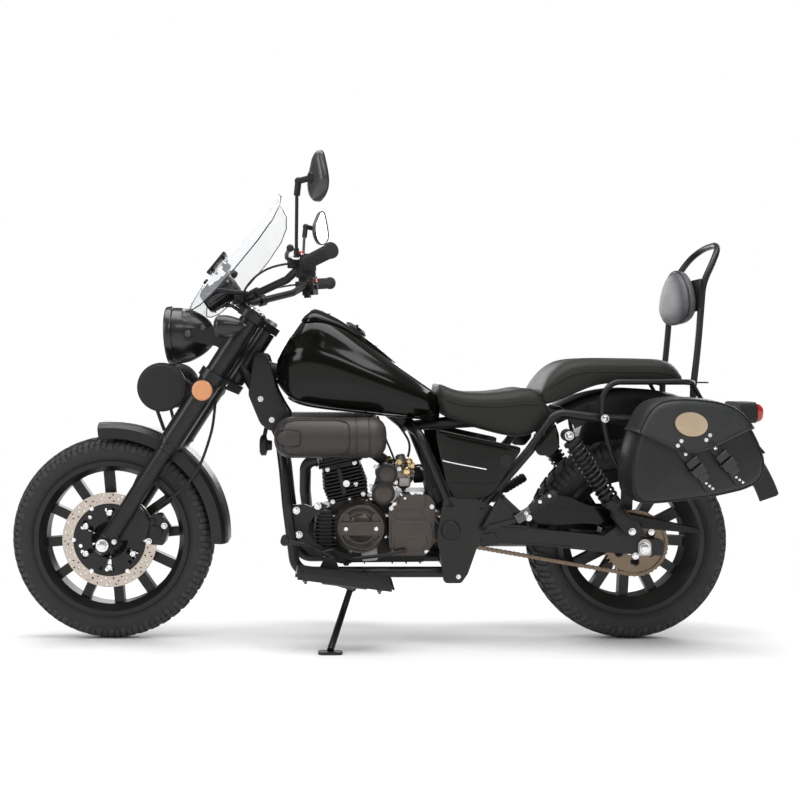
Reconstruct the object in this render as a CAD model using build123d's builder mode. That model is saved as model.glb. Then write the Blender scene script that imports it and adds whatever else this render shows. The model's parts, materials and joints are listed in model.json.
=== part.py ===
"""Cruiser motorcycle parked on its side stand.

Every piece is drawn on the upright machine: X runs to the rear from mid wheelbase, Y to the right-hand
side (the left side is negative), Z up from the ground.  PARKED then leans it onto its stand.
"""
from build123d import *
from math import asin, cos, degrees, pi, radians, sin
import os

os.makedirs("parts", exist_ok=True)

# ---------------------------------------------------------------- driving sizes, mm and degrees
CLEAR = 0.3                 # gap between pieces that seat on each other
FIT = 0.05                  # radial running clearance of shafts
LEAN = 9.0                  # lean to the left when parked
ORIGIN_SHIFT = (-68.0, 178.0)  # puts the origin under the middle of the parked machine

WHEELBASE = 1500.0
FRONT_RADIUS = 295.0        # over the tread
REAR_RADIUS = 290.0
FRONT_HALF_WIDTH = 49.0
REAR_HALF_WIDTH = 62.0
AXLE_RADIUS = 8.5

RAKE = 32.8                 # of the fork legs from the vertical
FORK_HALF_TRACK = 100.0     # of the legs from the centre plane
FORK_OFFSET = 50.0          # steering axis behind the legs
SLIDER_RADIUS = 24.0
SHROUD_RADIUS = 33.0
STANCHION_RADIUS = 19.0

FRONT_AXLE = (-WHEELBASE / 2, 0, FRONT_RADIUS)
REAR_AXLE = (WHEELBASE / 2, 0, REAR_RADIUS)

PARKED_LIFT = REAR_HALF_WIDTH * (1 - cos(radians(LEAN)))
PARKED = Location((ORIGIN_SHIFT[0], ORIGIN_SHIFT[1], PARKED_LIFT), (LEAN, 0, 0))


# ---------------------------------------------------------------- shared forms
def write(builder, name):
    """Lean a finished piece onto the stand, label it and write it."""
    piece = builder.part.moved(PARKED)
    piece.label = name
    export_step(piece, f"parts/{name}.step")


def rod(start, end, radius, mode=Mode.ADD):
    """A round bar from one point to another."""
    run = Vector(*end) - Vector(*start)
    with Locations(Plane(origin=start, z_dir=run)):
        Cylinder(radius, run.length, align=(Align.CENTER, Align.CENTER, Align.MIN), mode=mode)


def tube(route, bend, radius, mode=Mode.ADD):
    """A round tube along straight runs joined by tangent arcs."""
    with BuildLine() as path:
        FilletPolyline(*route, radius=bend)
    with BuildSketch(Plane(origin=path.line @ 0, z_dir=path.line % 0)) as ring:
        Circle(radius)
    sweep(sections=ring.sketch, path=path.line, mode=mode)


def side_plate(outline, near, far, corner=0.0, mode=Mode.ADD):
    """A flat plate seen from the left: (x, z) corners, between two y values."""
    with BuildSketch(Plane.XZ.offset(-far)) as face:
        with BuildLine():
            Polyline(*outline, close=True)
        make_face()
        if corner:
            fillet(face.vertices(), corner)
    extrude(to_extrude=face.sketch, amount=far - near, mode=mode)


def turned(base, direction, outline, mode=Mode.ADD):
    """A body turned about a line: outline holds (distance along, radius) pairs."""
    line = Vector(*direction).normalized()
    across = Vector(0, 0, 1) if abs(line.Z) < 0.9 else Vector(1, 0, 0)
    with BuildSketch(Plane(origin=base, x_dir=line, z_dir=line.cross(across))) as half:
        with BuildLine():
            Polyline((outline[0][0], 0), *outline, (outline[-1][0], 0), close=True)
        make_face()
    revolve(profiles=half.sketch, axis=Axis(base, line), mode=mode)


def ring_section(axle, outline, arc=360.0, start=0.0, mode=Mode.ADD):
    """A body turned about a wheel axle: outline holds (radius, y) corners."""
    tilt = radians(start)
    plane = Plane(origin=axle, x_dir=(cos(tilt), 0, sin(tilt)), z_dir=(-sin(tilt), 0, cos(tilt)))
    with BuildSketch(plane) as section:
        with BuildLine():
            Polyline(*outline, close=True)
        make_face()
    revolve(profiles=section.sketch, axis=Axis(axle, (0, -1, 0)), revolution_arc=arc, mode=mode)


def at_side(axle, y=0.0):
    """The plane of a wheel at y, seen from the left."""
    return Plane(origin=(axle[0], y, axle[2]), x_dir=(1, 0, 0), z_dir=(0, -1, 0))


# ---------------------------------------------------------------- fork line
UP_FORK = Vector(sin(radians(RAKE)), 0, cos(radians(RAKE)))
BEHIND_FORK = Vector(cos(radians(RAKE)), 0, -sin(radians(RAKE)))


def on_leg(up, behind=0.0, y=0.0):
    """A point by its distance up the fork leg from the axle and behind the leg line."""
    return Vector(*FRONT_AXLE) + UP_FORK * up + BEHIND_FORK * behind + Vector(0, y, 0)


RIM_LIP, RIM_WALL = 10.0, 4.0
LEG_BOTTOM = -28.0
SLIDER_TOP = 325.0
LOWER_CLAMP = (546.0, 572.0)
UPPER_CLAMP = (748.0, 770.0)
LEG_TOP = 780.0


# ---------------------------------------------------------------- wheels
def tyre(axle, tread, half_width, seat, seat_half, wall):
    """A tyre casing, open at its beads."""
    middle = (tread + seat) / 2 + 3
    bead_top = seat + RIM_LIP + 1
    shoulder = tread - 0.36 * half_width
    shoulder_half = 0.90 * half_width
    inner_middle = (seat + shoulder - wall) / 2 + 2
    with BuildSketch(Plane(origin=axle)) as section:
        with BuildLine():
            Line((seat, -seat_half), (bead_top, -seat_half))
            ThreePointArc((bead_top, -seat_half), (middle, -half_width), (shoulder, -shoulder_half))
            ThreePointArc((shoulder, -shoulder_half), (tread, 0), (shoulder, shoulder_half))
            ThreePointArc((shoulder, shoulder_half), (middle, half_width), (bead_top, seat_half))
            Line((bead_top, seat_half), (seat, seat_half))
            Line((seat, seat_half), (seat, seat_half - wall))
            ThreePointArc((seat, seat_half - wall), (inner_middle, half_width - wall),
                          (shoulder - wall, shoulder_half - wall))
            ThreePointArc((shoulder - wall, shoulder_half - wall), (tread - wall, 0),
                          (shoulder - wall, wall - shoulder_half))
            ThreePointArc((shoulder - wall, wall - shoulder_half), (inner_middle, wall - half_width),
                          (seat, wall - seat_half))
            Line((seat, wall - seat_half), (seat, -seat_half))
        make_face()
    revolve(profiles=section.sketch, axis=Axis(axle, (0, 1, 0)))


def cast_wheel(axle, seat, rim_half, opening, hub, hub_half, start_angle):
    """A cast wheel: drop-centre rim, twelve flat spokes and a bored hub."""
    lip, wall = RIM_LIP, RIM_WALL
    well = seat - 11
    ring_section(axle, [
        (seat + lip, -rim_half), (seat + lip, wall - rim_half), (seat, wall - rim_half),
        (seat, 20 - rim_half), (well, 28 - rim_half), (well, rim_half - 28), (seat, rim_half - 20),
        (seat, rim_half - wall), (seat + lip, rim_half - wall), (seat + lip, rim_half),
        (seat - wall, rim_half), (opening, 20), (opening, -20), (seat - wall, -rim_half)])
    ring_section(axle, [(0, -hub_half), (hub * 0.62, -hub_half), (hub * 0.7, 14 - hub_half), (hub, -20),
                        (hub, 20), (hub * 0.7, hub_half - 14), (hub * 0.62, hub_half), (0, hub_half)])
    spoke_length = opening - hub + 8
    with BuildSketch(at_side(axle)) as spokes:
        with PolarLocations((opening + hub) / 2, SPOKES, start_angle=start_angle):
            Rectangle(spoke_length, SPOKE_WIDTH)
    extrude(to_extrude=spokes.sketch, amount=SPOKE_THICKNESS / 2, both=True)
    rod((axle[0], -hub_half - 1, axle[2]), (axle[0], hub_half + 1, axle[2]), AXLE_RADIUS + FIT,
        mode=Mode.SUBTRACT)


SPOKES = 12
SPOKE_WIDTH = 28.0
SPOKE_THICKNESS = 22.0
FRONT_SEAT, FRONT_RIM_HALF, FRONT_OPENING = 214.0, 42.0, 194.0
REAR_SEAT, REAR_RIM_HALF, REAR_OPENING = 202.0, 50.0, 168.0
FRONT_HUB, FRONT_HUB_HALF = 50.0, 53.0
REAR_HUB, REAR_HUB_HALF = 78.0, 62.0
TYRE_WALL = 10.0

with BuildPart() as front_tyre:
    tyre(FRONT_AXLE, FRONT_RADIUS, FRONT_HALF_WIDTH, FRONT_SEAT + CLEAR,
         FRONT_RIM_HALF - RIM_WALL - CLEAR, TYRE_WALL)
write(front_tyre, "front_tyre")

with BuildPart() as front_rim:
    cast_wheel(FRONT_AXLE, FRONT_SEAT, FRONT_RIM_HALF, FRONT_OPENING, FRONT_HUB, FRONT_HUB_HALF, 5)
write(front_rim, "front_rim")

with BuildPart() as rear_tyre:
    tyre(REAR_AXLE, REAR_RADIUS, REAR_HALF_WIDTH, REAR_SEAT + CLEAR,
         REAR_RIM_HALF - RIM_WALL - CLEAR, TYRE_WALL + 2)
write(rear_tyre, "rear_tyre")

with BuildPart() as rear_rim:
    cast_wheel(REAR_AXLE, REAR_SEAT, REAR_RIM_HALF, REAR_OPENING, REAR_HUB, REAR_HUB_HALF, -3)
write(rear_rim, "rear_rim")

# Brake disc: a drilled ring on a black carrier, bolted to the left end of the hub.
DISC_RADIUS, DISC_INNER, DISC_THICKNESS = 136.0, 103.0, 5.0
DISC_Y = -FRONT_HUB_HALF - CLEAR - DISC_THICKNESS
with BuildPart() as front_disc:
    with BuildSketch(at_side(FRONT_AXLE, DISC_Y + DISC_THICKNESS)) as disc:
        Circle(DISC_RADIUS)
        Circle(DISC_INNER, mode=Mode.SUBTRACT)
        with PolarLocations((DISC_INNER + 60) / 2, 6, start_angle=15):
            Rectangle(DISC_INNER - 50, 22)
        Circle(82)
        Circle(20, mode=Mode.SUBTRACT)
        with PolarLocations(DISC_INNER + 9, 20):
            Circle(4, mode=Mode.SUBTRACT)
        with PolarLocations(DISC_RADIUS - 9, 20, start_angle=9):
            Circle(4, mode=Mode.SUBTRACT)
    extrude(to_extrude=disc.sketch, amount=DISC_THICKNESS)
write(front_disc, "front_disc")

# Chain drive on the left: 44 teeth behind, 15 in front, on a half-inch chain.
CHAIN_PITCH = 12.7
REAR_TEETH = 44
REAR_PITCH_RADIUS = CHAIN_PITCH / (2 * sin(pi / REAR_TEETH))
FRONT_PITCH_RADIUS = 31.0
CHAIN_Y = -77.0
CHAIN_WIDTH = 15.0
CHAIN_HALF_HEIGHT = 6.0
GEARBOX_SHAFT = (115.0, CHAIN_Y, 342.0)
SPROCKET_THICKNESS = 6.0
with BuildPart() as rear_sprocket:
    with BuildSketch(at_side(REAR_AXLE, CHAIN_Y + SPROCKET_THICKNESS / 2)) as blank:
        Circle(REAR_PITCH_RADIUS - CHAIN_HALF_HEIGHT - 1.5)
        Circle(20, mode=Mode.SUBTRACT)
        with PolarLocations(52, 6, start_angle=30):
            Circle(13, mode=Mode.SUBTRACT)
    extrude(to_extrude=blank.sketch, amount=SPROCKET_THICKNESS)
    with BuildSketch(at_side(REAR_AXLE, -REAR_HUB_HALF - CLEAR)) as carrier:
        Circle(36)
        Circle(20, mode=Mode.SUBTRACT)
    extrude(to_extrude=carrier.sketch, amount=-REAR_HUB_HALF - CLEAR - (CHAIN_Y + SPROCKET_THICKNESS / 2) + 1)
write(rear_sprocket, "rear_sprocket")

# Chain: one closed loop round both sprockets.

def chain_outline(grow):
    """The chain's loop, grown from its pitch line, on the plane of the chain."""
    with BuildSketch(Plane(origin=(GEARBOX_SHAFT[0], CHAIN_Y - CHAIN_WIDTH / 2, GEARBOX_SHAFT[2]),
                           x_dir=(1, 0, 0), z_dir=(0, 1, 0))) as loop:
        Circle(FRONT_PITCH_RADIUS + grow)
        with Locations((REAR_AXLE[0] - GEARBOX_SHAFT[0], GEARBOX_SHAFT[2] - REAR_AXLE[2])):
            Circle(REAR_PITCH_RADIUS + grow)
        make_hull()
    return loop.sketch


with BuildPart() as chain:
    extrude(to_extrude=chain_outline(CHAIN_HALF_HEIGHT), amount=CHAIN_WIDTH)
    extrude(to_extrude=chain_outline(-CHAIN_HALF_HEIGHT), amount=CHAIN_WIDTH, mode=Mode.SUBTRACT)
write(chain, "chain")

# ---------------------------------------------------------------- front fork
with BuildPart() as fork_sliders:
    base = on_leg(0, 0, -FORK_HALF_TRACK)
    turned(base, UP_FORK, [(LEG_BOTTOM, 16), (LEG_BOTTOM + 8, SLIDER_RADIUS), (SLIDER_TOP - 14, SLIDER_RADIUS),
                           (SLIDER_TOP - 12, SLIDER_RADIUS + 3), (SLIDER_TOP, SLIDER_RADIUS + 3)])
    rod((FRONT_AXLE[0], -FORK_HALF_TRACK - 26, FRONT_AXLE[2]),
        (FRONT_AXLE[0], -FORK_HALF_TRACK + 24, FRONT_AXLE[2]), 22)
    mirror(about=Plane.XZ)
    CALIPER_LUG_Y = (-90.0, -83.0)
    side_plate([(-735, 300), (-700, 400), (-655, 395), (-628, 352), (-640, 300)], *CALIPER_LUG_Y, corner=8)
    rod((FRONT_AXLE[0], -140, FRONT_AXLE[2]), (FRONT_AXLE[0], 140, FRONT_AXLE[2]), AXLE_RADIUS + FIT,
        mode=Mode.SUBTRACT)
write(fork_sliders, "fork_sliders")

with BuildPart() as fork_shrouds:
    leg = on_leg(0, 0, -FORK_HALF_TRACK)
    turned(leg, UP_FORK, [(SLIDER_TOP + CLEAR, STANCHION_RADIUS + 1), (SLIDER_TOP + 12, STANCHION_RADIUS + 1),
                          (SLIDER_TOP + 14, SHROUD_RADIUS), (LOWER_CLAMP[0] - 1, SHROUD_RADIUS),
                          (LOWER_CLAMP[0], SHROUD_RADIUS - 4), (LOWER_CLAMP[1] + 60, SHROUD_RADIUS - 3),
                          (UPPER_CLAMP[0] - 2, 27), (UPPER_CLAMP[0], 24), (LEG_TOP - 4, 24), (LEG_TOP, 20)])
    LAMP_EAR_Y = (-84.0, -80.0)
    side_plate([(-532, 868), (-532, 902), (-440, 905), (-372, 880), (-400, 820), (-440, 850)],
               *LAMP_EAR_Y, corner=8)
    mirror(about=Plane.XZ)
write(fork_shrouds, "fork_shrouds")

BAR_RADIUS, BAR_BEND = 11.0, 34.0
BAR_HALF_ROUTE = [(-118, -385, 1078), (-190, -255, 1060), (-235, -195, 1027), (-378, -62, 978)]
BAR_ROUTE = BAR_HALF_ROUTE + [(x, -y, z) for x, y, z in reversed(BAR_HALF_ROUTE)]
STEM_RADIUS = 14.0
HEAD_OUTER = 27.0
HEAD_SPAN = (LOWER_CLAMP[1] + 1.5, UPPER_CLAMP[0] - 1.5)
with BuildPart() as triple_clamps:
    for low, high in (LOWER_CLAMP, UPPER_CLAMP):
        clamp_plane = Plane(origin=on_leg(low), x_dir=BEHIND_FORK, z_dir=UP_FORK)
        with BuildSketch(clamp_plane) as clamp:
            with Locations((0, FORK_HALF_TRACK), (0, -FORK_HALF_TRACK)):
                Circle(40)
            with Locations((FORK_OFFSET, 0)):
                Circle(32)
            make_hull()
        extrude(to_extrude=clamp.sketch, amount=high - low)
    for side in (-1, 1):
        turned(on_leg(0, 0, side * FORK_HALF_TRACK), UP_FORK,
               [(LOWER_CLAMP[0] - 5, SHROUD_RADIUS - 4 + FIT), (LOWER_CLAMP[1] + 1, SHROUD_RADIUS - 4 + 2)],
               mode=Mode.SUBTRACT)
        turned(on_leg(0, 0, side * FORK_HALF_TRACK), UP_FORK,
               [(UPPER_CLAMP[0] - 5, 24 + 0.2), (UPPER_CLAMP[1] + 5, 24 + 0.2)], mode=Mode.SUBTRACT)
        RISER_FOOT = on_leg(UPPER_CLAMP[1] - 6, -18, side * 46)
        rod(RISER_FOOT, (-378, side * 46, 978), 13)
    rod(on_leg(LOWER_CLAMP[0], FORK_OFFSET), on_leg(UPPER_CLAMP[1] + 8, FORK_OFFSET), STEM_RADIUS)
    tube(BAR_ROUTE, BAR_BEND, BAR_RADIUS + FIT, mode=Mode.SUBTRACT)
write(triple_clamps, "triple_clamps")

# ---------------------------------------------------------------- handlebar and controls
GRIP_RUN = (Vector(*BAR_HALF_ROUTE[0]) - Vector(*BAR_HALF_ROUTE[1])).normalized()


def on_grip(out, forward=0.0, up=0.0):
    """A point by its distance out along the left grip, ahead of it and above it."""
    ahead = Vector(GRIP_RUN.Y, -GRIP_RUN.X, 0).normalized()
    return Vector(*BAR_HALF_ROUTE[1]) + GRIP_RUN * out + ahead * forward + Vector(0, 0, up)


with BuildPart() as handlebar:
    tube(BAR_ROUTE, BAR_BEND, BAR_RADIUS)
write(handlebar, "handlebar")

with BuildPart() as grips:
    turned(on_grip(0), GRIP_RUN, [(24, 21), (27, 21), (28, 17), (144, 17), (145, 19), (158, 19), (160, 15)])
    rod(on_grip(20), on_grip(150.5), BAR_RADIUS + FIT, mode=Mode.SUBTRACT)
    mirror(about=Plane.XZ)
write(grips, "grips")

with BuildPart() as hand_controls:
    turned(on_grip(0), GRIP_RUN, [(-8, 19), (-5, 22), (21, 22), (23, 20)])
    with Locations(Plane(origin=on_grip(4, 18, 4), x_dir=GRIP_RUN, z_dir=(0, 0, 1))):
        Box(28, 34, 26)
    tube([on_grip(4, 30, 6), on_grip(40, 62, 8), on_grip(95, 74, 6), on_grip(140, 84, 2)], 30, 5.5)
    with Locations(on_grip(142, 84, 2)):
        Sphere(8)
    tube(BAR_ROUTE, BAR_BEND, BAR_RADIUS + FIT, mode=Mode.SUBTRACT)
    mirror(about=Plane.XZ)
write(hand_controls, "hand_controls")

MIRROR_ROUTE = [on_grip(4, 20, 17 + CLEAR), on_grip(4, 20, 60), (-202, -330, 1234), (-166, -362, 1262)]
with BuildPart() as mirrors:
    tube(MIRROR_ROUTE, 14, 5)
    with BuildSketch(Plane(origin=(-158, -368, 1268), x_dir=(0.2, -0.98, 0), z_dir=(0.95, 0.19, 0.25))) as head:
        with BuildLine():
            Polyline((-40, 6), (-18, 56), (26, 58), (48, 12), (34, -50), (-10, -58), close=True)
        make_face()
        fillet(head.vertices(), 16)
    extrude(to_extrude=head.sketch, amount=16, both=True)
    mirror(about=Plane.XZ)
write(mirrors, "mirrors")

# ---------------------------------------------------------------- lamps, dial and screen
LAMP_AXIS = Vector(cos(radians(3)), 0, sin(radians(3)))
LAMP_RIM = Vector(-590, 0, 883)
LAMP_RADIUS = 86.0
with BuildPart() as headlamp:
    turned(LAMP_RIM, LAMP_AXIS, [(0, LAMP_RADIUS), (18, LAMP_RADIUS + 2), (22, LAMP_RADIUS - 4),
                                 (55, LAMP_RADIUS - 9), (90, 66), (118, 46), (134, 24), (138, 8)])
    turned(LAMP_RIM, LAMP_AXIS, [(-2, LAMP_RADIUS - 8), (12, LAMP_RADIUS - 10)], mode=Mode.SUBTRACT)
    for side in (-1, 1):
        rod((-520, side * 60, 885), (-520, side * (-LAMP_EAR_Y[1] - CLEAR), 885), 11)
write(headlamp, "headlamp")

with BuildPart() as headlamp_lens:
    turned(LAMP_RIM, LAMP_AXIS, [(-8, 1), (-6, 40), (-1, LAMP_RADIUS - 11), (7, LAMP_RADIUS - 9 - 2 * CLEAR), (7, 1)])
write(headlamp_lens, "headlamp_lens")

SIDE_LAMP = (-588.0, 735.0)
SIDE_LAMP_RADIUS = 67.0
with BuildPart() as side_lamps:
    turned((SIDE_LAMP[0], 0, SIDE_LAMP[1]), (0, -1, 0),
           [(82, 22), (86, 45), (100, 60), (112, SIDE_LAMP_RADIUS), (124, SIDE_LAMP_RADIUS), (126, 62),
            (129, 60), (131, 40), (132, 1)])
    rod(on_leg(505, -SHROUD_RADIUS - CLEAR, -FORK_HALF_TRACK), on_leg(505, -76, -FORK_HALF_TRACK), 8)
    rod((-612, -100, 690), (-588, -84, 612), 5)
    mirror(about=Plane.XZ)
write(side_lamps, "side_lamps")

REFLECTOR_UP = 513.0
with BuildPart() as fork_reflectors:
    reflector = on_leg(REFLECTOR_UP)
    turned((reflector.X, 0, reflector.Z), (0, -1, 0),
           [(FORK_HALF_TRACK + SHROUD_RADIUS + CLEAR, 28), (FORK_HALF_TRACK + SHROUD_RADIUS + 3, 30),
            (FORK_HALF_TRACK + SHROUD_RADIUS + 6, 30), (FORK_HALF_TRACK + SHROUD_RADIUS + 9, 24)])
    mirror(about=Plane.XZ)
write(fork_reflectors, "fork_reflectors")

INDICATOR_Y = 180.0
with BuildPart() as front_indicators:
    turned((-433, -INDICATOR_Y, 902), (1, 0, 0),
           [(0, 16), (6, 26), (14, 30), (40, 30), (70, 20), (84, 8), (87, 2)])
    shroud_edge = on_leg((902 - FRONT_RADIUS) / UP_FORK.Z)
    rod((shroud_edge.X, -FORK_HALF_TRACK - 28.5, 902), (shroud_edge.X, -INDICATOR_Y + 12, 902), 8)
    mirror(about=Plane.XZ)
write(front_indicators, "front_indicators")

with BuildPart() as speedometer:
    turned((-483, 0, 977), (0.823, 0, 0.568), [(0, 30), (6, 36), (90, 39), (97, 41), (105, 41), (106, 36)])
    tube([on_leg(755, -40 - CLEAR), on_leg(755, -78), (-436, 0, 972)], 8, 5)
write(speedometer, "speedometer")

SCREEN_LEAN = Vector(0.632, 0, 0.775)
SCREEN_FOOT = Vector(-496, 0, 1020)
SCREEN_CURVE = 350.0
SCREEN_THICKNESS = 4.0
BRACKET_Y = 110.0
with BuildPart() as windshield:
    back = Vector(0.775, 0, -0.632)
    screen_plane = Plane(origin=SCREEN_FOOT + back * SCREEN_CURVE - SCREEN_LEAN * 150,
                         x_dir=(0, 1, 0), z_dir=SCREEN_LEAN)
    with BuildSketch(screen_plane) as band:
        Circle(SCREEN_CURVE)
        Circle(SCREEN_CURVE - SCREEN_THICKNESS, mode=Mode.SUBTRACT)
        with Locations((0, SCREEN_CURVE / 2 + 100)):
            Rectangle(2 * SCREEN_CURVE, SCREEN_CURVE + 40, mode=Mode.INTERSECT)
    extrude(to_extrude=band.sketch, amount=600)
    with BuildSketch(Plane.YZ.offset(-900)) as screen_outline:
        with BuildLine():
            Polyline((-70, 1030), (-120, 985), (-160, 944), (-200, 962), (-214, 1060), (-206, 1190),
                     (-150, 1268), (0, 1296), (150, 1268), (206, 1190), (214, 1060), (200, 962),
                     (160, 944), (120, 985), (70, 1030), close=True)
        make_face()
        fillet(screen_outline.vertices(), 22)
    extrude(to_extrude=screen_outline.sketch, amount=900, mode=Mode.INTERSECT)
write(windshield, "windshield")

screen_back = Vector(0.775, 0, -0.632)
with BuildPart() as screen_brackets:
    curve_centre = SCREEN_FOOT + SCREEN_LEAN * 12 + screen_back * SCREEN_CURVE
    slant = asin(BRACKET_Y / SCREEN_CURVE)
    inward = screen_back * cos(slant) + Vector(0, sin(slant), 0)
    washer = curve_centre - inward * (SCREEN_CURVE - SCREEN_THICKNESS - CLEAR)
    rod(washer, washer + inward * 8, 13)
    bar_low, bar_high = Vector(*BAR_HALF_ROUTE[3]), Vector(*BAR_HALF_ROUTE[2])
    on_bar = bar_low + (bar_high - bar_low) * ((BRACKET_Y - 62) / (195 - 62))
    along_bar = (bar_high - bar_low).normalized()
    rod(on_bar - along_bar * 10, on_bar + along_bar * 10, 17)
    rod(washer + inward * 6, on_bar, 6)
    tube(BAR_ROUTE, BAR_BEND, BAR_RADIUS + FIT, mode=Mode.SUBTRACT)
    mirror(about=Plane.XZ)
write(screen_brackets, "screen_brackets")

# ---------------------------------------------------------------- front fender, caliper, axle, hoses
FENDER_RADIUS, FENDER_THICKNESS, FENDER_HALF = 338.0, 3.0, 66.0
FENDER_SKIRT = 46.0
with BuildPart() as front_fender:
    outer, inner = FENDER_RADIUS, FENDER_RADIUS - FENDER_THICKNESS
    half, thick = FENDER_HALF, FENDER_THICKNESS
    ring_section(FRONT_AXLE, [
        (outer - FENDER_SKIRT, -half), (outer - 16, -half), (outer - 5, 12 - half), (outer, 30 - half),
        (outer, half - 30), (outer - 5, half - 12), (outer - 16, half), (outer - FENDER_SKIRT, half),
        (outer - FENDER_SKIRT, half - thick), (inner - 15, half - thick), (inner - 5, half - 13),
        (inner, half - 30), (inner, 30 - half), (inner - 5, 13 - half), (inner - 15, thick - half),
        (outer - FENDER_SKIRT, thick - half)], arc=98, start=-2)
    for up in (292, 318):
        boss = on_leg(up)
        rod((boss.X, -FENDER_HALF + 1, boss.Z), (boss.X, -FORK_HALF_TRACK + SLIDER_RADIUS - 4, boss.Z), 7)
        rod((boss.X, FENDER_HALF - 1, boss.Z), (boss.X, FORK_HALF_TRACK - SLIDER_RADIUS + 4, boss.Z), 7)
    for side in (-1, 1):
        turned(on_leg(0, 0, side * FORK_HALF_TRACK), UP_FORK,
               [(SLIDER_TOP - 60, SLIDER_RADIUS + 3 + CLEAR), (SLIDER_TOP + 40, SLIDER_RADIUS + 3 + CLEAR)],
               mode=Mode.SUBTRACT)
write(front_fender, "front_fender")

with BuildPart() as front_caliper:
    side_plate([(-640, 288), (-590, 284), (-574, 330), (-600, 372), (-640, 366)], -82.7, -42, corner=10)
    ring_section(FRONT_AXLE, [(0, DISC_Y - 6), (DISC_RADIUS + 6, DISC_Y - 6),
                              (DISC_RADIUS + 6, DISC_Y + DISC_THICKNESS + 6), (0, DISC_Y + DISC_THICKNESS + 6)],
                 mode=Mode.SUBTRACT)
write(front_caliper, "front_caliper")

with BuildPart() as front_axle:
    rod((FRONT_AXLE[0], -138, FRONT_AXLE[2]), (FRONT_AXLE[0], 138, FRONT_AXLE[2]), AXLE_RADIUS)
    for side in (-1, 1):
        rod((FRONT_AXLE[0], side * (FRONT_HUB_HALF + 0.5), FRONT_AXLE[2]),
            (FRONT_AXLE[0], side * (FORK_HALF_TRACK - 24 - CLEAR), FRONT_AXLE[2]), 13)
        rod((FRONT_AXLE[0], side * (FORK_HALF_TRACK + 26 + CLEAR), FRONT_AXLE[2]),
            (FRONT_AXLE[0], side * 136, FRONT_AXLE[2]), 15)
write(front_axle, "front_axle")

HOSE_ROUTE = [(-615, -62, 371), (-612, -62, 392), (-574, -74, 416), (-525, -86, 452), (-488, -88, 505),
              (-464, -86, 570), (-446, -78, 640), on_leg(543, 16, -62)]
with BuildPart() as brake_hose:
    tube(HOSE_ROUTE, 9, 4)
write(brake_hose, "brake_hose")

# ---------------------------------------------------------------- frame
DOWN_TUBE, RAIL = 15.0, 13.0
PIVOT = (215.0, 0.0, 342.0)
RAIL_Z, RAIL_Y = 212.0, 95.0
PLATE_Y = (-156.0, -148.0)
FENDER_RAIL_Y = 134.0
REAR_FENDER_RADIUS, REAR_FENDER_HALF = 440.0, 92.0
FLOOR_UP = Vector(0, sin(radians(LEAN)), cos(radians(LEAN)))
STAND_PIVOT = Vector(-57, -94, 172)
STAND_FOOT_X, STAND_FOOT_Y = -117.0, -272.0
STAND_FOOT = Vector(STAND_FOOT_X, STAND_FOOT_Y,
                    (-STAND_FOOT_Y * sin(radians(LEAN)) - PARKED_LIFT) / cos(radians(LEAN)))
STAND_ANKLE = STAND_FOOT + FLOOR_UP * 9
STAND_FOLDED = Vector(0.97, -0.2, -0.1)
STAND_AXIS = (STAND_ANKLE - STAND_PIVOT).cross(STAND_FOLDED).normalized()
STAND_PIN = 7.0
PIVOT_PLATE = [(178, 330), (196, 428), (262, 440), (338, 404), (300, 330), (262, 222), (244, 196), (196, 196)]
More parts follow.
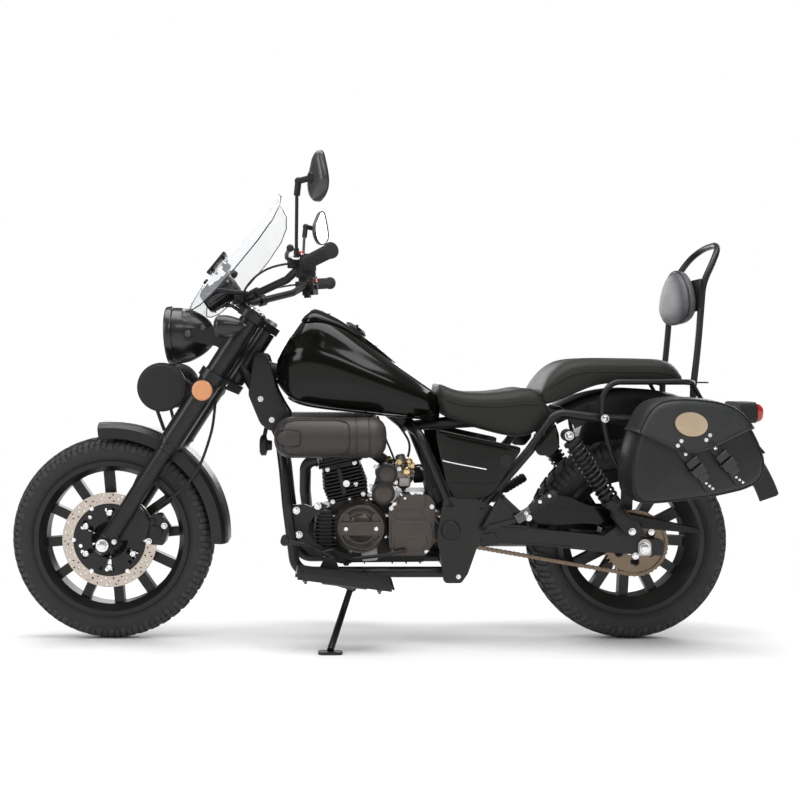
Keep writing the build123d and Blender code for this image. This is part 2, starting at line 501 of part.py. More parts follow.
with BuildPart() as frame:
    rod(on_leg(HEAD_SPAN[0], FORK_OFFSET), on_leg(HEAD_SPAN[1], FORK_OFFSET), HEAD_OUTER)
    for side in (-1, 1):
        tube([(-376, side * 16, 790), (-296, side * 38, 660), (-262, side * 42, 590), (-248, side * 80, 500),
              (-238, side * RAIL_Y, 400), (-214, side * RAIL_Y, RAIL_Z), (222, side * RAIL_Y, RAIL_Z)],
             45, DOWN_TUBE)
        tube([(108, side * 12, 622), (132, side * 120, 606), (212, side * 146, 412)], 40, RAIL)
        tube([(300, side * 142, 404), (436, side * 138, 560), (512, side * FENDER_RAIL_Y, 664),
              (918, side * FENDER_RAIL_Y, 618)], 40, RAIL)
        tube([(120, side * 20, 619), (300, side * 90, 634), (520, side * 90, 652)], 60, RAIL)
        side_plate(PIVOT_PLATE, *(PLATE_Y if side < 0 else (-PLATE_Y[1], -PLATE_Y[0])), corner=12)
        rod((380, side * 141, 494), (340, side * 150, 494), 6)
        rod((340, side * 145, 494), (340, side * (157 - CLEAR), 494), 8)
        rod((600, side * FENDER_RAIL_Y, 654), (600, side * (REAR_FENDER_HALF + CLEAR), 654), 7)
        rod((790, side * FENDER_RAIL_Y, 633), (790, side * (REAR_FENDER_HALF - 3), 633), 7)
    tube([(-345, 0, 795), (-200, 0, 765), (20, 0, 695), (116, 0, 618)], 60, 22)
    side_plate([(-222, 402), (-190, 404), (-168, 396), (-152, 410), (-124, 400), (-136, 384), (-160, 372),
                (-177, 349), (-178, 325), (-160, 297), (-128, 278), (-92, 262), (-70, 246), (-84, 236),
                (-128, 246), (-176, 262), (-204, 290), (-218, 350)], -98, -92)
    side_plate([(-218, 330), (-196, 336), (-160, 300), (-128, 280), (-92, 262), (-84, 236), (-128, 246),
                (-176, 262), (-206, 290)], 105, 111)
    rod((222, -152, RAIL_Z), (222, 152, RAIL_Z), RAIL)
    rod((520, -FENDER_RAIL_Y, 658), (520, FENDER_RAIL_Y, 658), 12)
    rod((-296, -38, 660), (-296, 38, 660), 10)
    rod((-180, -30 + CLEAR, 760), (-180, 30 - CLEAR, 760), 10)
    rod((60, -30 + CLEAR, 676), (60, 30 - CLEAR, 676), 8)
    rod(on_leg(HEAD_SPAN[0] - 1, FORK_OFFSET), on_leg(HEAD_SPAN[1] + 1, FORK_OFFSET), STEM_RADIUS + FIT,
        mode=Mode.SUBTRACT)
    for side in (-1, 1):
        rod((PIVOT[0], side * 140, PIVOT[2]), (PIVOT[0], side * 165, PIVOT[2]), 10 + CLEAR, mode=Mode.SUBTRACT)
    rod(STAND_PIVOT + STAND_AXIS * 10, STAND_PIVOT + STAND_AXIS * 30, 17)
    rod(STAND_PIVOT - STAND_AXIS * 1, STAND_PIVOT + STAND_AXIS * 40, STAND_PIN + FIT, mode=Mode.SUBTRACT)
write(frame, "frame")

NECK_OUTLINE = [(-334, 832), (-304, 834), (-288, 740), (-266, 690), (-240, 645), (-287, 606), (-317, 628), (-352, 712)]
with BuildPart() as neck_covers:
    side_plate(NECK_OUTLINE, -66, -61, corner=8)
    rod((-286, -62, 640), (-286, -54.4 - CLEAR, 640), 8)
    mirror(about=Plane.XZ)
write(neck_covers, "neck_covers")

# ---------------------------------------------------------------- engine
CYLINDER_FOOT = Vector(-62, 0, 404)
CYLINDER_LEAN = 13.0
UP_BORE = Vector(-sin(radians(CYLINDER_LEAN)), 0, cos(radians(CYLINDER_LEAN)))
ACROSS_BORE = Vector(cos(radians(CYLINDER_LEAN)), 0, sin(radians(CYLINDER_LEAN)))
CASE_HALF = 60.0
JOINT_FRONT, JOINT_REAR = CYLINDER_FOOT - ACROSS_BORE * 60, CYLINDER_FOOT + ACROSS_BORE * 56
with BuildPart() as crankcase:
    side_plate([(-152, 250), (-152, 376), (JOINT_FRONT.X, JOINT_FRONT.Z), (JOINT_REAR.X, JOINT_REAR.Z),
                (24, 402), (64, 402), (82, 428), (176, 428), (184, 300), (150, 232), (-120, 230)],
               -CASE_HALF, CASE_HALF)
    rod((GEARBOX_SHAFT[0], -CASE_HALF + 1, GEARBOX_SHAFT[2]), (GEARBOX_SHAFT[0], CHAIN_Y - 4, GEARBOX_SHAFT[2]), 12)
    with BuildSketch(at_side(GEARBOX_SHAFT, CHAIN_Y + SPROCKET_THICKNESS / 2)) as small_blank:
        Circle(FRONT_PITCH_RADIUS - CHAIN_HALF_HEIGHT - CLEAR)
    extrude(to_extrude=small_blank.sketch, amount=SPROCKET_THICKNESS)
write(crankcase, "crankcase")

FINS, FIN_PITCH, FIN_THICKNESS = 9, 10.0, 3.0
with BuildPart() as cylinder:
    bore_plane = Plane(origin=CYLINDER_FOOT, x_dir=ACROSS_BORE, z_dir=UP_BORE)
    with BuildSketch(bore_plane.offset(CLEAR)) as barrel:
        RectangleRounded(78, 84, 20)
    extrude(to_extrude=barrel.sketch, amount=150)
    for fin in range(FINS):
        with BuildSketch(bore_plane.offset(12 + fin * FIN_PITCH)) as blade:
            RectangleRounded(126 - 3 * abs(fin - 4), 132 - 2 * abs(fin - 4), 16)
        extrude(to_extrude=blade.sketch, amount=FIN_THICKNESS)
    with BuildSketch(bore_plane.offset(108)) as head_block:
        RectangleRounded(112, 112, 12)
    extrude(to_extrude=head_block.sketch, amount=46)
write(cylinder, "cylinder")

ROTOR_COVER = (-31.0, 341.0)
SPROCKET_COVER = [(52, 263), (47, 300), (47, 392), (72, 406), (84, 433), (160, 433), (178, 410), (176, 300), (150, 263)]
with BuildPart() as engine_covers:
    turned((ROTOR_COVER[0], 0, ROTOR_COVER[1]), (0, -1, 0),
           [(CASE_HALF + CLEAR, 74), (92, 74), (96, 70), (112, 66), (122, 62), (127, 56), (128, 1)])
    side_plate([(-150, 262), (-150, 374), (-100, 374), (-100, 262)], -88, -CASE_HALF - CLEAR, corner=6)
    side_plate(SPROCKET_COVER, -116, -CASE_HALF - CLEAR, corner=8)
    with BuildSketch(Plane.XZ.offset(CASE_HALF)) as cavity:
        with Locations((GEARBOX_SHAFT[0], GEARBOX_SHAFT[2])):
            Circle(FRONT_PITCH_RADIUS + 12)
        with Locations((GEARBOX_SHAFT[0] + 60, GEARBOX_SHAFT[2] - 6)):
            Rectangle(120, 2 * FRONT_PITCH_RADIUS + 36)
    extrude(to_extrude=cavity.sketch, amount=36, mode=Mode.SUBTRACT)
    side_plate([(-140, 262), (-120, 368), (-20, 388), (60, 392), (150, 350), (156, 270), (100, 244), (-90, 244)],
               CASE_HALF + CLEAR, 104, corner=18)
    turned((20, 0, 322), (0, 1, 0), [(100, 62), (112, 60), (118, 52), (120, 1)])
write(engine_covers, "engine_covers")

with BuildPart() as starter_and_carburettor:
    rod((34, -40, 433 + CLEAR), (34, -98, 433 + CLEAR), 31)
    rod((44, -22, 486), (44, -90, 486), 30)
    rod((60, 10, 500), (128, 10, 472), 23)
    intake = CYLINDER_FOOT + UP_BORE * 125 + ACROSS_BORE * (56 + CLEAR) + Vector(0, 10, 0)
    tube([intake, intake + ACROSS_BORE * 36, (68, 10, 497)], 16, 17)
    rod((92, 10, 440), (92, 10, 486), 18)
write(starter_and_carburettor, "carburettor_starter")

POD_RADIUS, POD_Y = 56.0, 145.0
with BuildPart() as side_pods:
    rod((-262, -110, 596), (-262, -59.5, 596), 8)
    turned((-271, -POD_Y, 596), (1, 0, 0), [(0, 20), (10, 42), (34, POD_RADIUS), (276, POD_RADIUS), (299, 44), (309, 22)])
    mirror(about=Plane.XZ)
write(side_pods, "side_pods")

MUFFLER_Y, MUFFLER_Z = 202.0, 262.0
EXHAUST_PORT = CYLINDER_FOOT + UP_BORE * 130 - ACROSS_BORE * (56 + CLEAR) + Vector(0, 20, 0)
with BuildPart() as exhaust:
    tube([EXHAUST_PORT, EXHAUST_PORT - ACROSS_BORE * 45, (-192, 60, 420), (-186, 148, 330), (-120, 150, 266), (66, 150, 266),
          (160, 180, MUFFLER_Z), (330, MUFFLER_Y, MUFFLER_Z)], 30, 17)
    turned((310, MUFFLER_Y, MUFFLER_Z), (1, 0, 0),
           [(0, 20), (40, 42), (440, 42), (470, 36), (560, 34), (562, 28), (600, 28)])
write(exhaust, "exhaust")

# ---------------------------------------------------------------- tank, seats, covers
TANK_STATIONS = [
    # x, half width, top, shoulder z, bottom half width, bottom z
    (-272, 50, 822, 800, 42, 742),
    (-246, 92, 872, 835, 70, 706),
    (-165, 124, 962, 862, 92, 680),
    (-60, 138, 912, 824, 100, 668),
    (60, 130, 815, 772, 94, 652),
    (130, 108, 768, 742, 82, 646),
    (196, 66, 724, 704, 58, 642),
]
with BuildPart() as fuel_tank:
    for x, width, top, shoulder, foot, bottom in TANK_STATIONS:
        with BuildSketch(Plane.YZ.offset(x)) as station:
            with BuildLine():
                Line((-foot, bottom), (foot, bottom))
                ThreePointArc((foot, bottom), (width, (shoulder + bottom) / 2), (width * 0.86, shoulder))
                ThreePointArc((width * 0.86, shoulder), (0, top), (-width * 0.86, shoulder))
                ThreePointArc((-width * 0.86, shoulder), (-width, (shoulder + bottom) / 2), (-foot, bottom))
            make_face()
    loft()
    side_plate([(-300, 640), (-300, 812), (-180, 792), (40, 722), (140, 662), (140, 600)], -30, 30,
               mode=Mode.SUBTRACT)
write(fuel_tank, "fuel_tank")

with BuildPart() as rider_seat:
    side_plate([(201, 742), (262, 716), (377, 722), (440, 732), (478, 724), (510, 648), (449, 600), (405, 596),
                (300, 622), (216, 655)], -120, 120, corner=6)
    side_plate([(190, 560), (190, 643), (300, 647.5), (520, 665.5), (520, 560)], -108, 108, mode=Mode.SUBTRACT)
write(rider_seat, "rider_seat")

SEAT_BASE = REAR_AXLE[2] + REAR_FENDER_RADIUS + 12   # under the pillion seat


def over_fender(*spots):
    """Side corners by x and their height over the pillion seat's base."""
    return [(x, SEAT_BASE + rise) for x, rise in spots]


with BuildPart() as pillion_seat:
    side_plate(over_fender((482, -13), (506, 30), (531, 55), (560, 70), (595, 77), (837, 73), (873, 48), (884, 22),
                           (872, 4), (640, -2), (590, -34), (556, -56), (530, -67), (504, -67)), -112, 112, corner=4)
    side_plate(over_fender((480, -142), (480, -58), (540, -42), (600, -18), (650, 0), (880, 0), (880, -142)),
               -104, 104, mode=Mode.SUBTRACT)
    for y in (-34, 34):
        rod((REAR_AXLE[0], y, SEAT_BASE + 4), (REAR_AXLE[0], y, REAR_AXLE[2] + REAR_FENDER_RADIUS + CLEAR), 14)
write(pillion_seat, "pillion_seat")

SIDE_COVER = [(173, 600), (412, 568), (331, 452), (295, 446), (226, 446), (204, 470)]
REAR_COVER = [(446, 566), (502, 638), (513, 606), (514, 572), (492, 546), (456, 548)]
with BuildPart() as side_covers:
    side_plate(SIDE_COVER, -164, -157, corner=14)
    side_plate(REAR_COVER, -157, -151 - CLEAR, corner=5)
    rod((470, -152, 606), (470, -149.2 - CLEAR, 606), 6)
    mirror(about=Plane.XZ)
write(side_covers, "side_covers")

# ---------------------------------------------------------------- rear end
with BuildPart() as rear_fender:
    outer, inner, half, thick = REAR_FENDER_RADIUS, REAR_FENDER_RADIUS - 3, REAR_FENDER_HALF, 3
    skirt = REAR_RADIUS + 80
    ring_section(REAR_AXLE, [
        (skirt, -half), (outer - 20, -half), (outer - 6, 14 - half), (outer, 36 - half),
        (outer, half - 36), (outer - 6, half - 14), (outer - 20, half), (skirt, half),
        (skirt, half - thick), (inner - 19, half - thick), (inner - 6, half - 15), (inner, half - 36),
        (inner, 36 - half), (inner - 6, 15 - half), (inner - 19, thick - half), (skirt, thick - half)],
        arc=99, start=19)
write(rear_fender, "rear_fender")

TAIL_HEIGHT, TAIL_REACH = 659.0, 60.0
TAIL_ANGLE = degrees(asin((TAIL_HEIGHT - REAR_AXLE[2]) / (REAR_FENDER_RADIUS + TAIL_REACH)))


def off_fender(angle, out, y=0.0):
    """A point outside the rear fender, by its angle above level and distance from the skin."""
    tilt = radians(angle)
    reach = REAR_FENDER_RADIUS + out
    return Vector(REAR_AXLE[0] + reach * cos(tilt), y, REAR_AXLE[2] + reach * sin(tilt))


TAIL_FACE = off_fender(TAIL_ANGLE, TAIL_REACH).X + 30
PLATE_ANGLE = TAIL_ANGLE - 7.5
PLATE_HOLE_Y, PLATE_HOLE_RADIUS = 66.0, 3.5
with BuildPart() as tail_lamp:
    with BuildSketch(Plane.YZ.offset(TAIL_FACE - 52)) as lamp_body:
        with Locations((0, TAIL_HEIGHT)):
            RectangleRounded(96, 62, 20)
    extrude(to_extrude=lamp_body.sketch, amount=52)
    rod(off_fender(TAIL_ANGLE, TAIL_REACH), off_fender(TAIL_ANGLE, CLEAR), 14)
    plate_out = (off_fender(PLATE_ANGLE, 1) - off_fender(PLATE_ANGLE, 0)).normalized()
    with BuildSketch(Plane(origin=off_fender(PLATE_ANGLE, 8), x_dir=(0, 1, 0), z_dir=plate_out)) as blank_plate:
        RectangleRounded(160, 90, 8)
        with Locations((PLATE_HOLE_Y, 0), (-PLATE_HOLE_Y, 0)):
            Circle(PLATE_HOLE_RADIUS, mode=Mode.SUBTRACT)
    extrude(to_extrude=blank_plate.sketch, amount=2)
    rod(off_fender(PLATE_ANGLE, 9), off_fender(PLATE_ANGLE, CLEAR), 12)
    rod(off_fender(PLATE_ANGLE + 4.2, 10), off_fender(TAIL_ANGLE, 40), 6)
write(tail_lamp, "tail_lamp")

with BuildPart() as tail_lens:
    with BuildSketch(Plane.YZ.offset(TAIL_FACE + CLEAR)) as lens_face:
        with Locations((0, TAIL_HEIGHT)):
            RectangleRounded(92, 58, 18)
    extrude(to_extrude=lens_face.sketch, amount=20, taper=20)
write(tail_lens, "tail_lens")

ARM_Y = (-143.0, -119.0)
with BuildPart() as swingarm:
    for side in (-1, 1):
        near, far = ARM_Y if side < 0 else (-ARM_Y[1], -ARM_Y[0])
        side_plate([(196, 320), (196, 364), (250, 366), (640, 324), (688, 358), (722, 358), (740, 318), (806, 312),
                    (806, 268), (640, 278), (250, 320)], near, far, corner=8)
    rod((PIVOT[0] + 60, -120, 336), (PIVOT[0] + 60, 120, 336), 18)
    rod((PIVOT[0], -118, PIVOT[2]), (PIVOT[0], 118, PIVOT[2]), 20)
    rod((PIVOT[0], -166, PIVOT[2]), (PIVOT[0], 166, PIVOT[2]), 10)
    for side in (-1, 1):
        rod((PIVOT[0], side * (-PLATE_Y[0] + CLEAR), PIVOT[2]), (PIVOT[0], side * 166, PIVOT[2]), 22)
    rod((REAR_AXLE[0], -150, REAR_AXLE[2]), (REAR_AXLE[0], 150, REAR_AXLE[2]), AXLE_RADIUS + FIT, mode=Mode.SUBTRACT)
write(swingarm, "swingarm")

with BuildPart() as rear_axle:
    rod((REAR_AXLE[0], -158, REAR_AXLE[2]), (REAR_AXLE[0], 158, REAR_AXLE[2]), AXLE_RADIUS)
    for side in (-1, 1):
        rod((REAR_AXLE[0], side * (143 + CLEAR), REAR_AXLE[2]), (REAR_AXLE[0], side * 156, REAR_AXLE[2]), 15)
        reach = REAR_HUB_HALF + 0.5
        rod((REAR_AXLE[0], side * reach, REAR_AXLE[2]), (REAR_AXLE[0], side * (119 - CLEAR), REAR_AXLE[2]), 14)
write(rear_axle, "rear_axle")

SHOCK_TOP, SHOCK_BOTTOM, SHOCK_Y = Vector(534, -166, 604), Vector(705, -166, 343), -166.0
SHOCK_RUN = (SHOCK_BOTTOM - SHOCK_TOP).length
COILS = 13
with BuildPart() as shock_absorbers:
    down = (SHOCK_BOTTOM - SHOCK_TOP).normalized()
    spring_start, spring_end = 26.0, SHOCK_RUN - 62
    outline = [(0, 12), (12, 14), (14, 25), (spring_start, 25)]
    step = (spring_end - spring_start) / COILS
    for coil in range(COILS):
        low = spring_start + coil * step
        outline += [(low, 20), (low + 0.25 * step, 26), (low + 0.75 * step, 26)]
    outline += [(spring_end, 20), (spring_end, 25), (spring_end + 8, 25), (spring_end + 9, 18), (SHOCK_RUN, 14)]
    turned(SHOCK_TOP, down, outline)
    for point in (SHOCK_TOP, SHOCK_BOTTOM):
        rod(point + Vector(0, -14, 0), point + Vector(0, 16, 0), 16)
    rod(SHOCK_TOP, (SHOCK_TOP.X, -FENDER_RAIL_Y, SHOCK_TOP.Z), 7)
    rod(SHOCK_BOTTOM, (SHOCK_BOTTOM.X, ARM_Y[0] - CLEAR, SHOCK_BOTTOM.Z), 9)
    mirror(about=Plane.XZ)
write(shock_absorbers, "shock_absorbers")

with BuildPart() as chain_guard:
    side_plate([(440, 396), (484, 432), (560, 424), (600, 402), (930, 334), (930, 320), (600, 350), (470, 340)],
               -96, -92, corner=4)
    side_plate([(484, 432), (560, 424), (600, 402), (600, 399), (560, 421), (484, 429)], -96, -70)
    side_plate([(470, 352), (500, 352), (500, 325), (470, 325)], -96, -92)
    rod((485, -94, 333), (485, ARM_Y[1] + CLEAR, 333), 6)
write(chain_guard, "chain_guard")

# ---------------------------------------------------------------- rider equipment
with BuildPart() as footrests:
    side_plate([(-209, 224), (-209, 248), (50, 214), (50, 190)], -270, -172, corner=6)
    side_plate([(-150, 236), (-128, 282), (-108, 282), (-88, 230)], -182, -176, corner=6)
    rod((-120, -174, 226), (-120, -RAIL_Y - DOWN_TUBE - CLEAR, 216), 9)
    rod((-20, -174, 214), (-20, -RAIL_Y - DOWN_TUBE - CLEAR, 212), 9)
    side_plate([(352, 444), (422, 378), (296, 343)], -172, -166, corner=6)
    side_plate([(352, 418), (388, 384), (332, 368)], -174, -164, corner=4, mode=Mode.SUBTRACT)
    rod((308, -168, 353), (308, PLATE_Y[0] - CLEAR, 353), 8)
    rod((404, -177, 388), (500, -177, 446), 11)
    mirror(about=Plane.XZ)
write(footrests, "footrests")

with BuildPart() as foot_levers:
    for side in (-1, 1):
        tube([(-238, side * 200, 322), (-190, side * 196, 312), (-118, side * 189, 278)], 20, 6)
        rod((-118, side * 194, 274), (-118, side * (182 + CLEAR), 274), 8)
        rod((-239, side * 214, 323), (-239, side * 176, 323), 10)
    tube([(-140, -191, 288.5), (-112, -186, 295), (-56, -150, 262), (20, -140, 268), (90, -134, 280)], 20, 5)
    rod((90, -139, 280), (90, -116 - CLEAR, 280), 6)
write(foot_levers, "foot_levers")

RACK_Y, RACK_Z = 158.0, SEAT_BASE + 8
BAG_INNER, BAG_OUTER, BAG_WALL = 172.0, 290.0, 4.0
PAD_Z = RACK_Z + 244
STAY_RADIUS = 6.0
STAY_Y = BAG_INNER - CLEAR - STAY_RADIUS
TAB_HOLE_Y, TAB_HOLE_RADIUS = 128.0, 4.0
with BuildPart() as rack_and_backrest:
    for side in (-1, 1):
        tube([(631, side * RACK_Y, 643), (631, side * RACK_Y, RACK_Z - 35), (659, side * RACK_Y, RACK_Z),
              (878, side * RACK_Y, RACK_Z), (904, side * 106, RACK_Z - 10)], 18, 8)
    for side in (-1, 1):
        tube([(631, side * RACK_Y, 664), (640, side * STAY_Y, 600), (664, side * STAY_Y, 520),
              (720, side * STAY_Y, 480), (930, side * STAY_Y, 500), (935, side * STAY_Y, 570),
              (935, side * 152, 650), (880, side * 153, RACK_Z - 2)], 20, STAY_RADIUS)
        with Locations(Plane(origin=(916, side * 124, RACK_Z - 4), x_dir=(1, 0, 0), z_dir=(0, 0, 1))):
            Box(52, 30, 4, align=(Align.CENTER, Align.CENTER, Align.MIN))
        rod((930, side * TAB_HOLE_Y, RACK_Z - 10), (930, side * TAB_HOLE_Y, RACK_Z + 6), TAB_HOLE_RADIUS, mode=Mode.SUBTRACT)
    tube([(904, -106, RACK_Z - 18), (918, -106, RACK_Z + 104), (932, -106, RACK_Z + 277), (1004, -106, RACK_Z + 392),
          (1004, 106, RACK_Z + 392), (932, 106, RACK_Z + 277), (918, 106, RACK_Z + 104), (904, 106, RACK_Z - 18)], 44, 9)
    rod((906, -106, RACK_Z - 2), (906, 106, RACK_Z - 2), 8)
    for side in (-1, 1):
        rod((631, side * RACK_Y, 651), (631, side * (FENDER_RAIL_Y + RAIL + CLEAR), 651), 6)
        rod((905, side * 106, RACK_Z - 5), (902, side * 106, 615), 9)
        rod((902, side * 106, 620), (902, side * (FENDER_RAIL_Y - RAIL - CLEAR), 620), 7)
    with BuildSketch(Plane(origin=(922, 0, PAD_Z), x_dir=(0, 1, 0), z_dir=(1, 0, -0.03))) as pad_plate:
        RectangleRounded(230, 90, 12)
    extrude(to_extrude=pad_plate.sketch, amount=4)
write(rack_and_backrest, "rack_and_sissy_bar")

with BuildPart() as backrest_pad:
    with BuildSketch(Plane(origin=(922 - CLEAR, 0, PAD_Z), x_dir=(0, 1, 0), z_dir=(-1, 0, 0.03))) as pad:
        RectangleRounded(196, 158, 36)
    extrude(to_extrude=pad.sketch, amount=42)
write(backrest_pad, "backrest_pad")

# ---------------------------------------------------------------- saddlebags
BAG_OUTLINE = [(657, 600), (672, 668), (706, 704), (760, 712), (850, 711), (960, 700), (1000, 672), (1022, 600),
               (1026, 522), (1008, 476), (920, 448), (790, 426), (700, 426), (672, 460)]
LID_LINE = [(600, 646), (664, 634), (760, 582), (810, 566), (880, 590), (985, 634), (1060, 646)]
BAG_MOUTH = 676.0
LID_HINGE_Y, LID_HINGE_Z = 180.0, 702.0


def bag_solid(grow, near, far, mode=Mode.ADD):
    """The bag's side outline, grown inwards or outwards, between two depths."""
    with BuildSketch(Plane.XZ.offset(near)) as outline:
        with BuildLine():
            Polyline(*BAG_OUTLINE, close=True)
        make_face()
        fillet(outline.vertices(), 14)
        if grow:
            offset(amount=grow)
    extrude(to_extrude=outline.sketch, amount=far - near, mode=mode)


def above_lid_line(mode):
    """Everything above the lid's lower edge."""
    side_plate([(600, 900)] + LID_LINE + [(1060, 900)],
               -BAG_OUTER - 40, -BAG_INNER + 40, mode=mode)


with BuildPart() as saddlebags:
    bag_solid(-6, BAG_INNER, BAG_OUTER - 6)
    bag_solid(-6 - BAG_WALL, BAG_INNER + BAG_WALL, BAG_OUTER - 6 - BAG_WALL, mode=Mode.SUBTRACT)
    side_plate([(600, 900), (600, BAG_MOUTH), (1060, BAG_MOUTH), (1060, 900)], -BAG_OUTER - 40, -BAG_INNER + 40,
               mode=Mode.SUBTRACT)
    mirror(about=Plane.XZ)
write(saddlebags, "saddlebags")

for mirrored, bag_name in ((False, "left"), (True, "right")):
    with BuildPart() as lid:
        bag_solid(0, BAG_INNER + 3, BAG_OUTER)
        bag_solid(-5, BAG_INNER - 10, BAG_OUTER - 5, mode=Mode.SUBTRACT)
        above_lid_line(Mode.INTERSECT)
        for x in (740, 840):
            rod((x, -LID_HINGE_Y, LID_HINGE_Z), (x + 60, -LID_HINGE_Y, LID_HINGE_Z), 5.5)
        if mirrored:
            mirror(about=Plane.XZ, mode=Mode.REPLACE)
    write(lid, f"bag_lid_{bag_name}")

with BuildPart() as horn:
    turned((-323, 0, 561), (1, 0, 0), [(0, 22), (4, 30), (18, 30), (22, 16), (35, 14)])
    side_plate([(-318, 580), (-306, 580), (-290, 650 - CLEAR), (-302, 650 - CLEAR)], -6, 6)
write(horn, "horn")

# ---------------------------------------------------------------- side stand
with BuildPart() as side_stand:
    rod(STAND_PIVOT - STAND_AXIS * 8, STAND_PIVOT + STAND_AXIS * (10 - CLEAR), 15)
    rod(STAND_PIVOT, STAND_PIVOT + STAND_AXIS * 36, STAND_PIN)
    rod(STAND_PIVOT, STAND_ANKLE, 9)
    with BuildSketch(Plane(origin=STAND_FOOT, x_dir=(1, 0, 0), z_dir=FLOOR_UP)) as foot_pad:
        RectangleRounded(64, 40, 14)
    extrude(to_extrude=foot_pad.sketch, amount=7)
write(side_stand, "side_stand")
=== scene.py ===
import json
import math

import bmesh
import bpy
from mathutils import Matrix, Vector
from mathutils.bvhtree import BVHTree


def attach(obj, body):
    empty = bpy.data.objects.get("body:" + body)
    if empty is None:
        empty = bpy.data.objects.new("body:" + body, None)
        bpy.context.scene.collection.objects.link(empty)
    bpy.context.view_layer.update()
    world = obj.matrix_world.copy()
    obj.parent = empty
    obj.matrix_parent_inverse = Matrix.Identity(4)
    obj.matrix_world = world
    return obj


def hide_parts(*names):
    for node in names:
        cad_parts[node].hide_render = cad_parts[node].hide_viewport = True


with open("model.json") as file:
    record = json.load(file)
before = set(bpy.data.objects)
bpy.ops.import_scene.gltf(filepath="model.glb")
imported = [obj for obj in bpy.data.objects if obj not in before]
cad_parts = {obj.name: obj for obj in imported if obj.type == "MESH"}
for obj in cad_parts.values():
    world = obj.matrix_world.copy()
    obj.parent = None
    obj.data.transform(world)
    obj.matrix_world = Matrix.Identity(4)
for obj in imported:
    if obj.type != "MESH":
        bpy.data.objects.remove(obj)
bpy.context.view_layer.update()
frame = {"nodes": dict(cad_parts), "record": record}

# -------- placing
# Pieces are drawn on the upright machine in millimetres (x to the rear, y to the right, z up),
# then PARKED leans them onto the stand, in metres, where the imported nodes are.
LEAN = math.radians(9.0)
REAR_HALF_WIDTH = 62.0
PARKED = (Matrix.Translation((-0.068, 0.178, REAR_HALF_WIDTH * (1 - math.cos(LEAN)) / 1000))
          @ Matrix.Rotation(LEAN, 4, "X") @ Matrix.Scale(0.001, 4))
WHEELBASE = 1500.0
FRONT_AXLE = Vector((-WHEELBASE / 2, 0, 295))
REAR_AXLE = Vector((WHEELBASE / 2, 0, 290))
RAKE = math.radians(32.8)
UP_FORK = Vector((math.sin(RAKE), 0, math.cos(RAKE)))
BEHIND_FORK = Vector((math.cos(RAKE), 0, -math.sin(RAKE)))
LEG_OUT = 100.0
BOTH = (-1, 1)
LEFT = Vector((0, -1, 0))
RIGHT = Vector((0, 1, 0))
UP = Vector((0, 0, 1))
DOWN = Vector((0, 0, -1))
REARWARD = Vector((1, 0, 0))


def on_leg(up, behind=0.0, y=0.0):
    """A place by its distance up the fork from the axle, behind the legs and to the right."""
    return FRONT_AXLE + UP_FORK * up + BEHIND_FORK * behind + Vector((0, y, 0))


# -------- forms
# A form is (points, faces). Points are in millimetres on the upright machine.
def joined(*forms):
    """Several forms as one."""
    points, faces = [], []
    for form_points, form_faces in forms:
        base = len(points)
        points += form_points
        faces += [tuple(base + i for i in face) for face in form_faces]
    return points, faces


def mirrored(form):
    """The same form on the other side of the machine."""
    points, faces = form
    return [Vector((p[0], -p[1], p[2])) for p in points], [tuple(reversed(face)) for face in faces]


def pair(*forms):
    """Forms of the left side with their mirror images on the right."""
    whole = joined(*forms)
    return joined(whole, mirrored(whole))


def moved(form, matrix):
    """A form turned, squeezed or shifted by a matrix."""
    return [matrix @ Vector(p) for p in form[0]], form[1]


def axes_for(direction, up=None):
    """Unit vectors ahead, to the side and up, for a direction."""
    ahead = Vector(direction).normalized()
    if up is None:
        up = UP if abs(ahead.z) < 0.9 else REARWARD
    side = ahead.cross(Vector(up)).normalized()
    return ahead, side, side.cross(ahead)


def lathe(base, direction, outline, segments=48):
    """Turned form: outline holds (distance along, radius)."""
    ahead, side, up = axes_for(direction)
    points, faces = [], []
    for i in range(segments):
        angle = math.radians(360.0 * i / segments)
        ray = side * math.cos(angle) + up * math.sin(angle)
        points += [Vector(base) + ahead * along + ray * radius for along, radius in outline]
    n = len(outline)
    for i in range(segments):
        a, b = i * n, ((i + 1) % segments) * n
        faces += [(a + k, b + k, b + k + 1, a + k + 1) for k in range(n - 1)]
    for k in (0, n - 1):
        if outline[k][1] > 1e-6:
            ring = [i * n + k for i in range(segments)]
            faces.append(tuple(reversed(ring)) if k else tuple(ring))
    return points, faces


def rod(start, end, radius, segments=20):
    """A straight round bar."""
    run = Vector(end) - Vector(start)
    return lathe(start, run, [(0, radius), (run.length, radius)], segments)


def smooth_route(route, bend, steps=6):
    """A route whose corners are replaced by arcs."""
    route = [Vector(p) for p in route]
    out = [route[0]]
    for before, corner, after in zip(route, route[1:], route[2:]):
        a, b = (before - corner), (after - corner)
        reach = min(bend, a.length * 0.49, b.length * 0.49)
        p, q = corner + a.normalized() * reach, corner + b.normalized() * reach
        for i in range(steps + 1):
            t = i / steps
            out.append(p * (1 - t) ** 2 + corner * 2 * t * (1 - t) + q * t ** 2)
    out.append(route[-1])
    return out


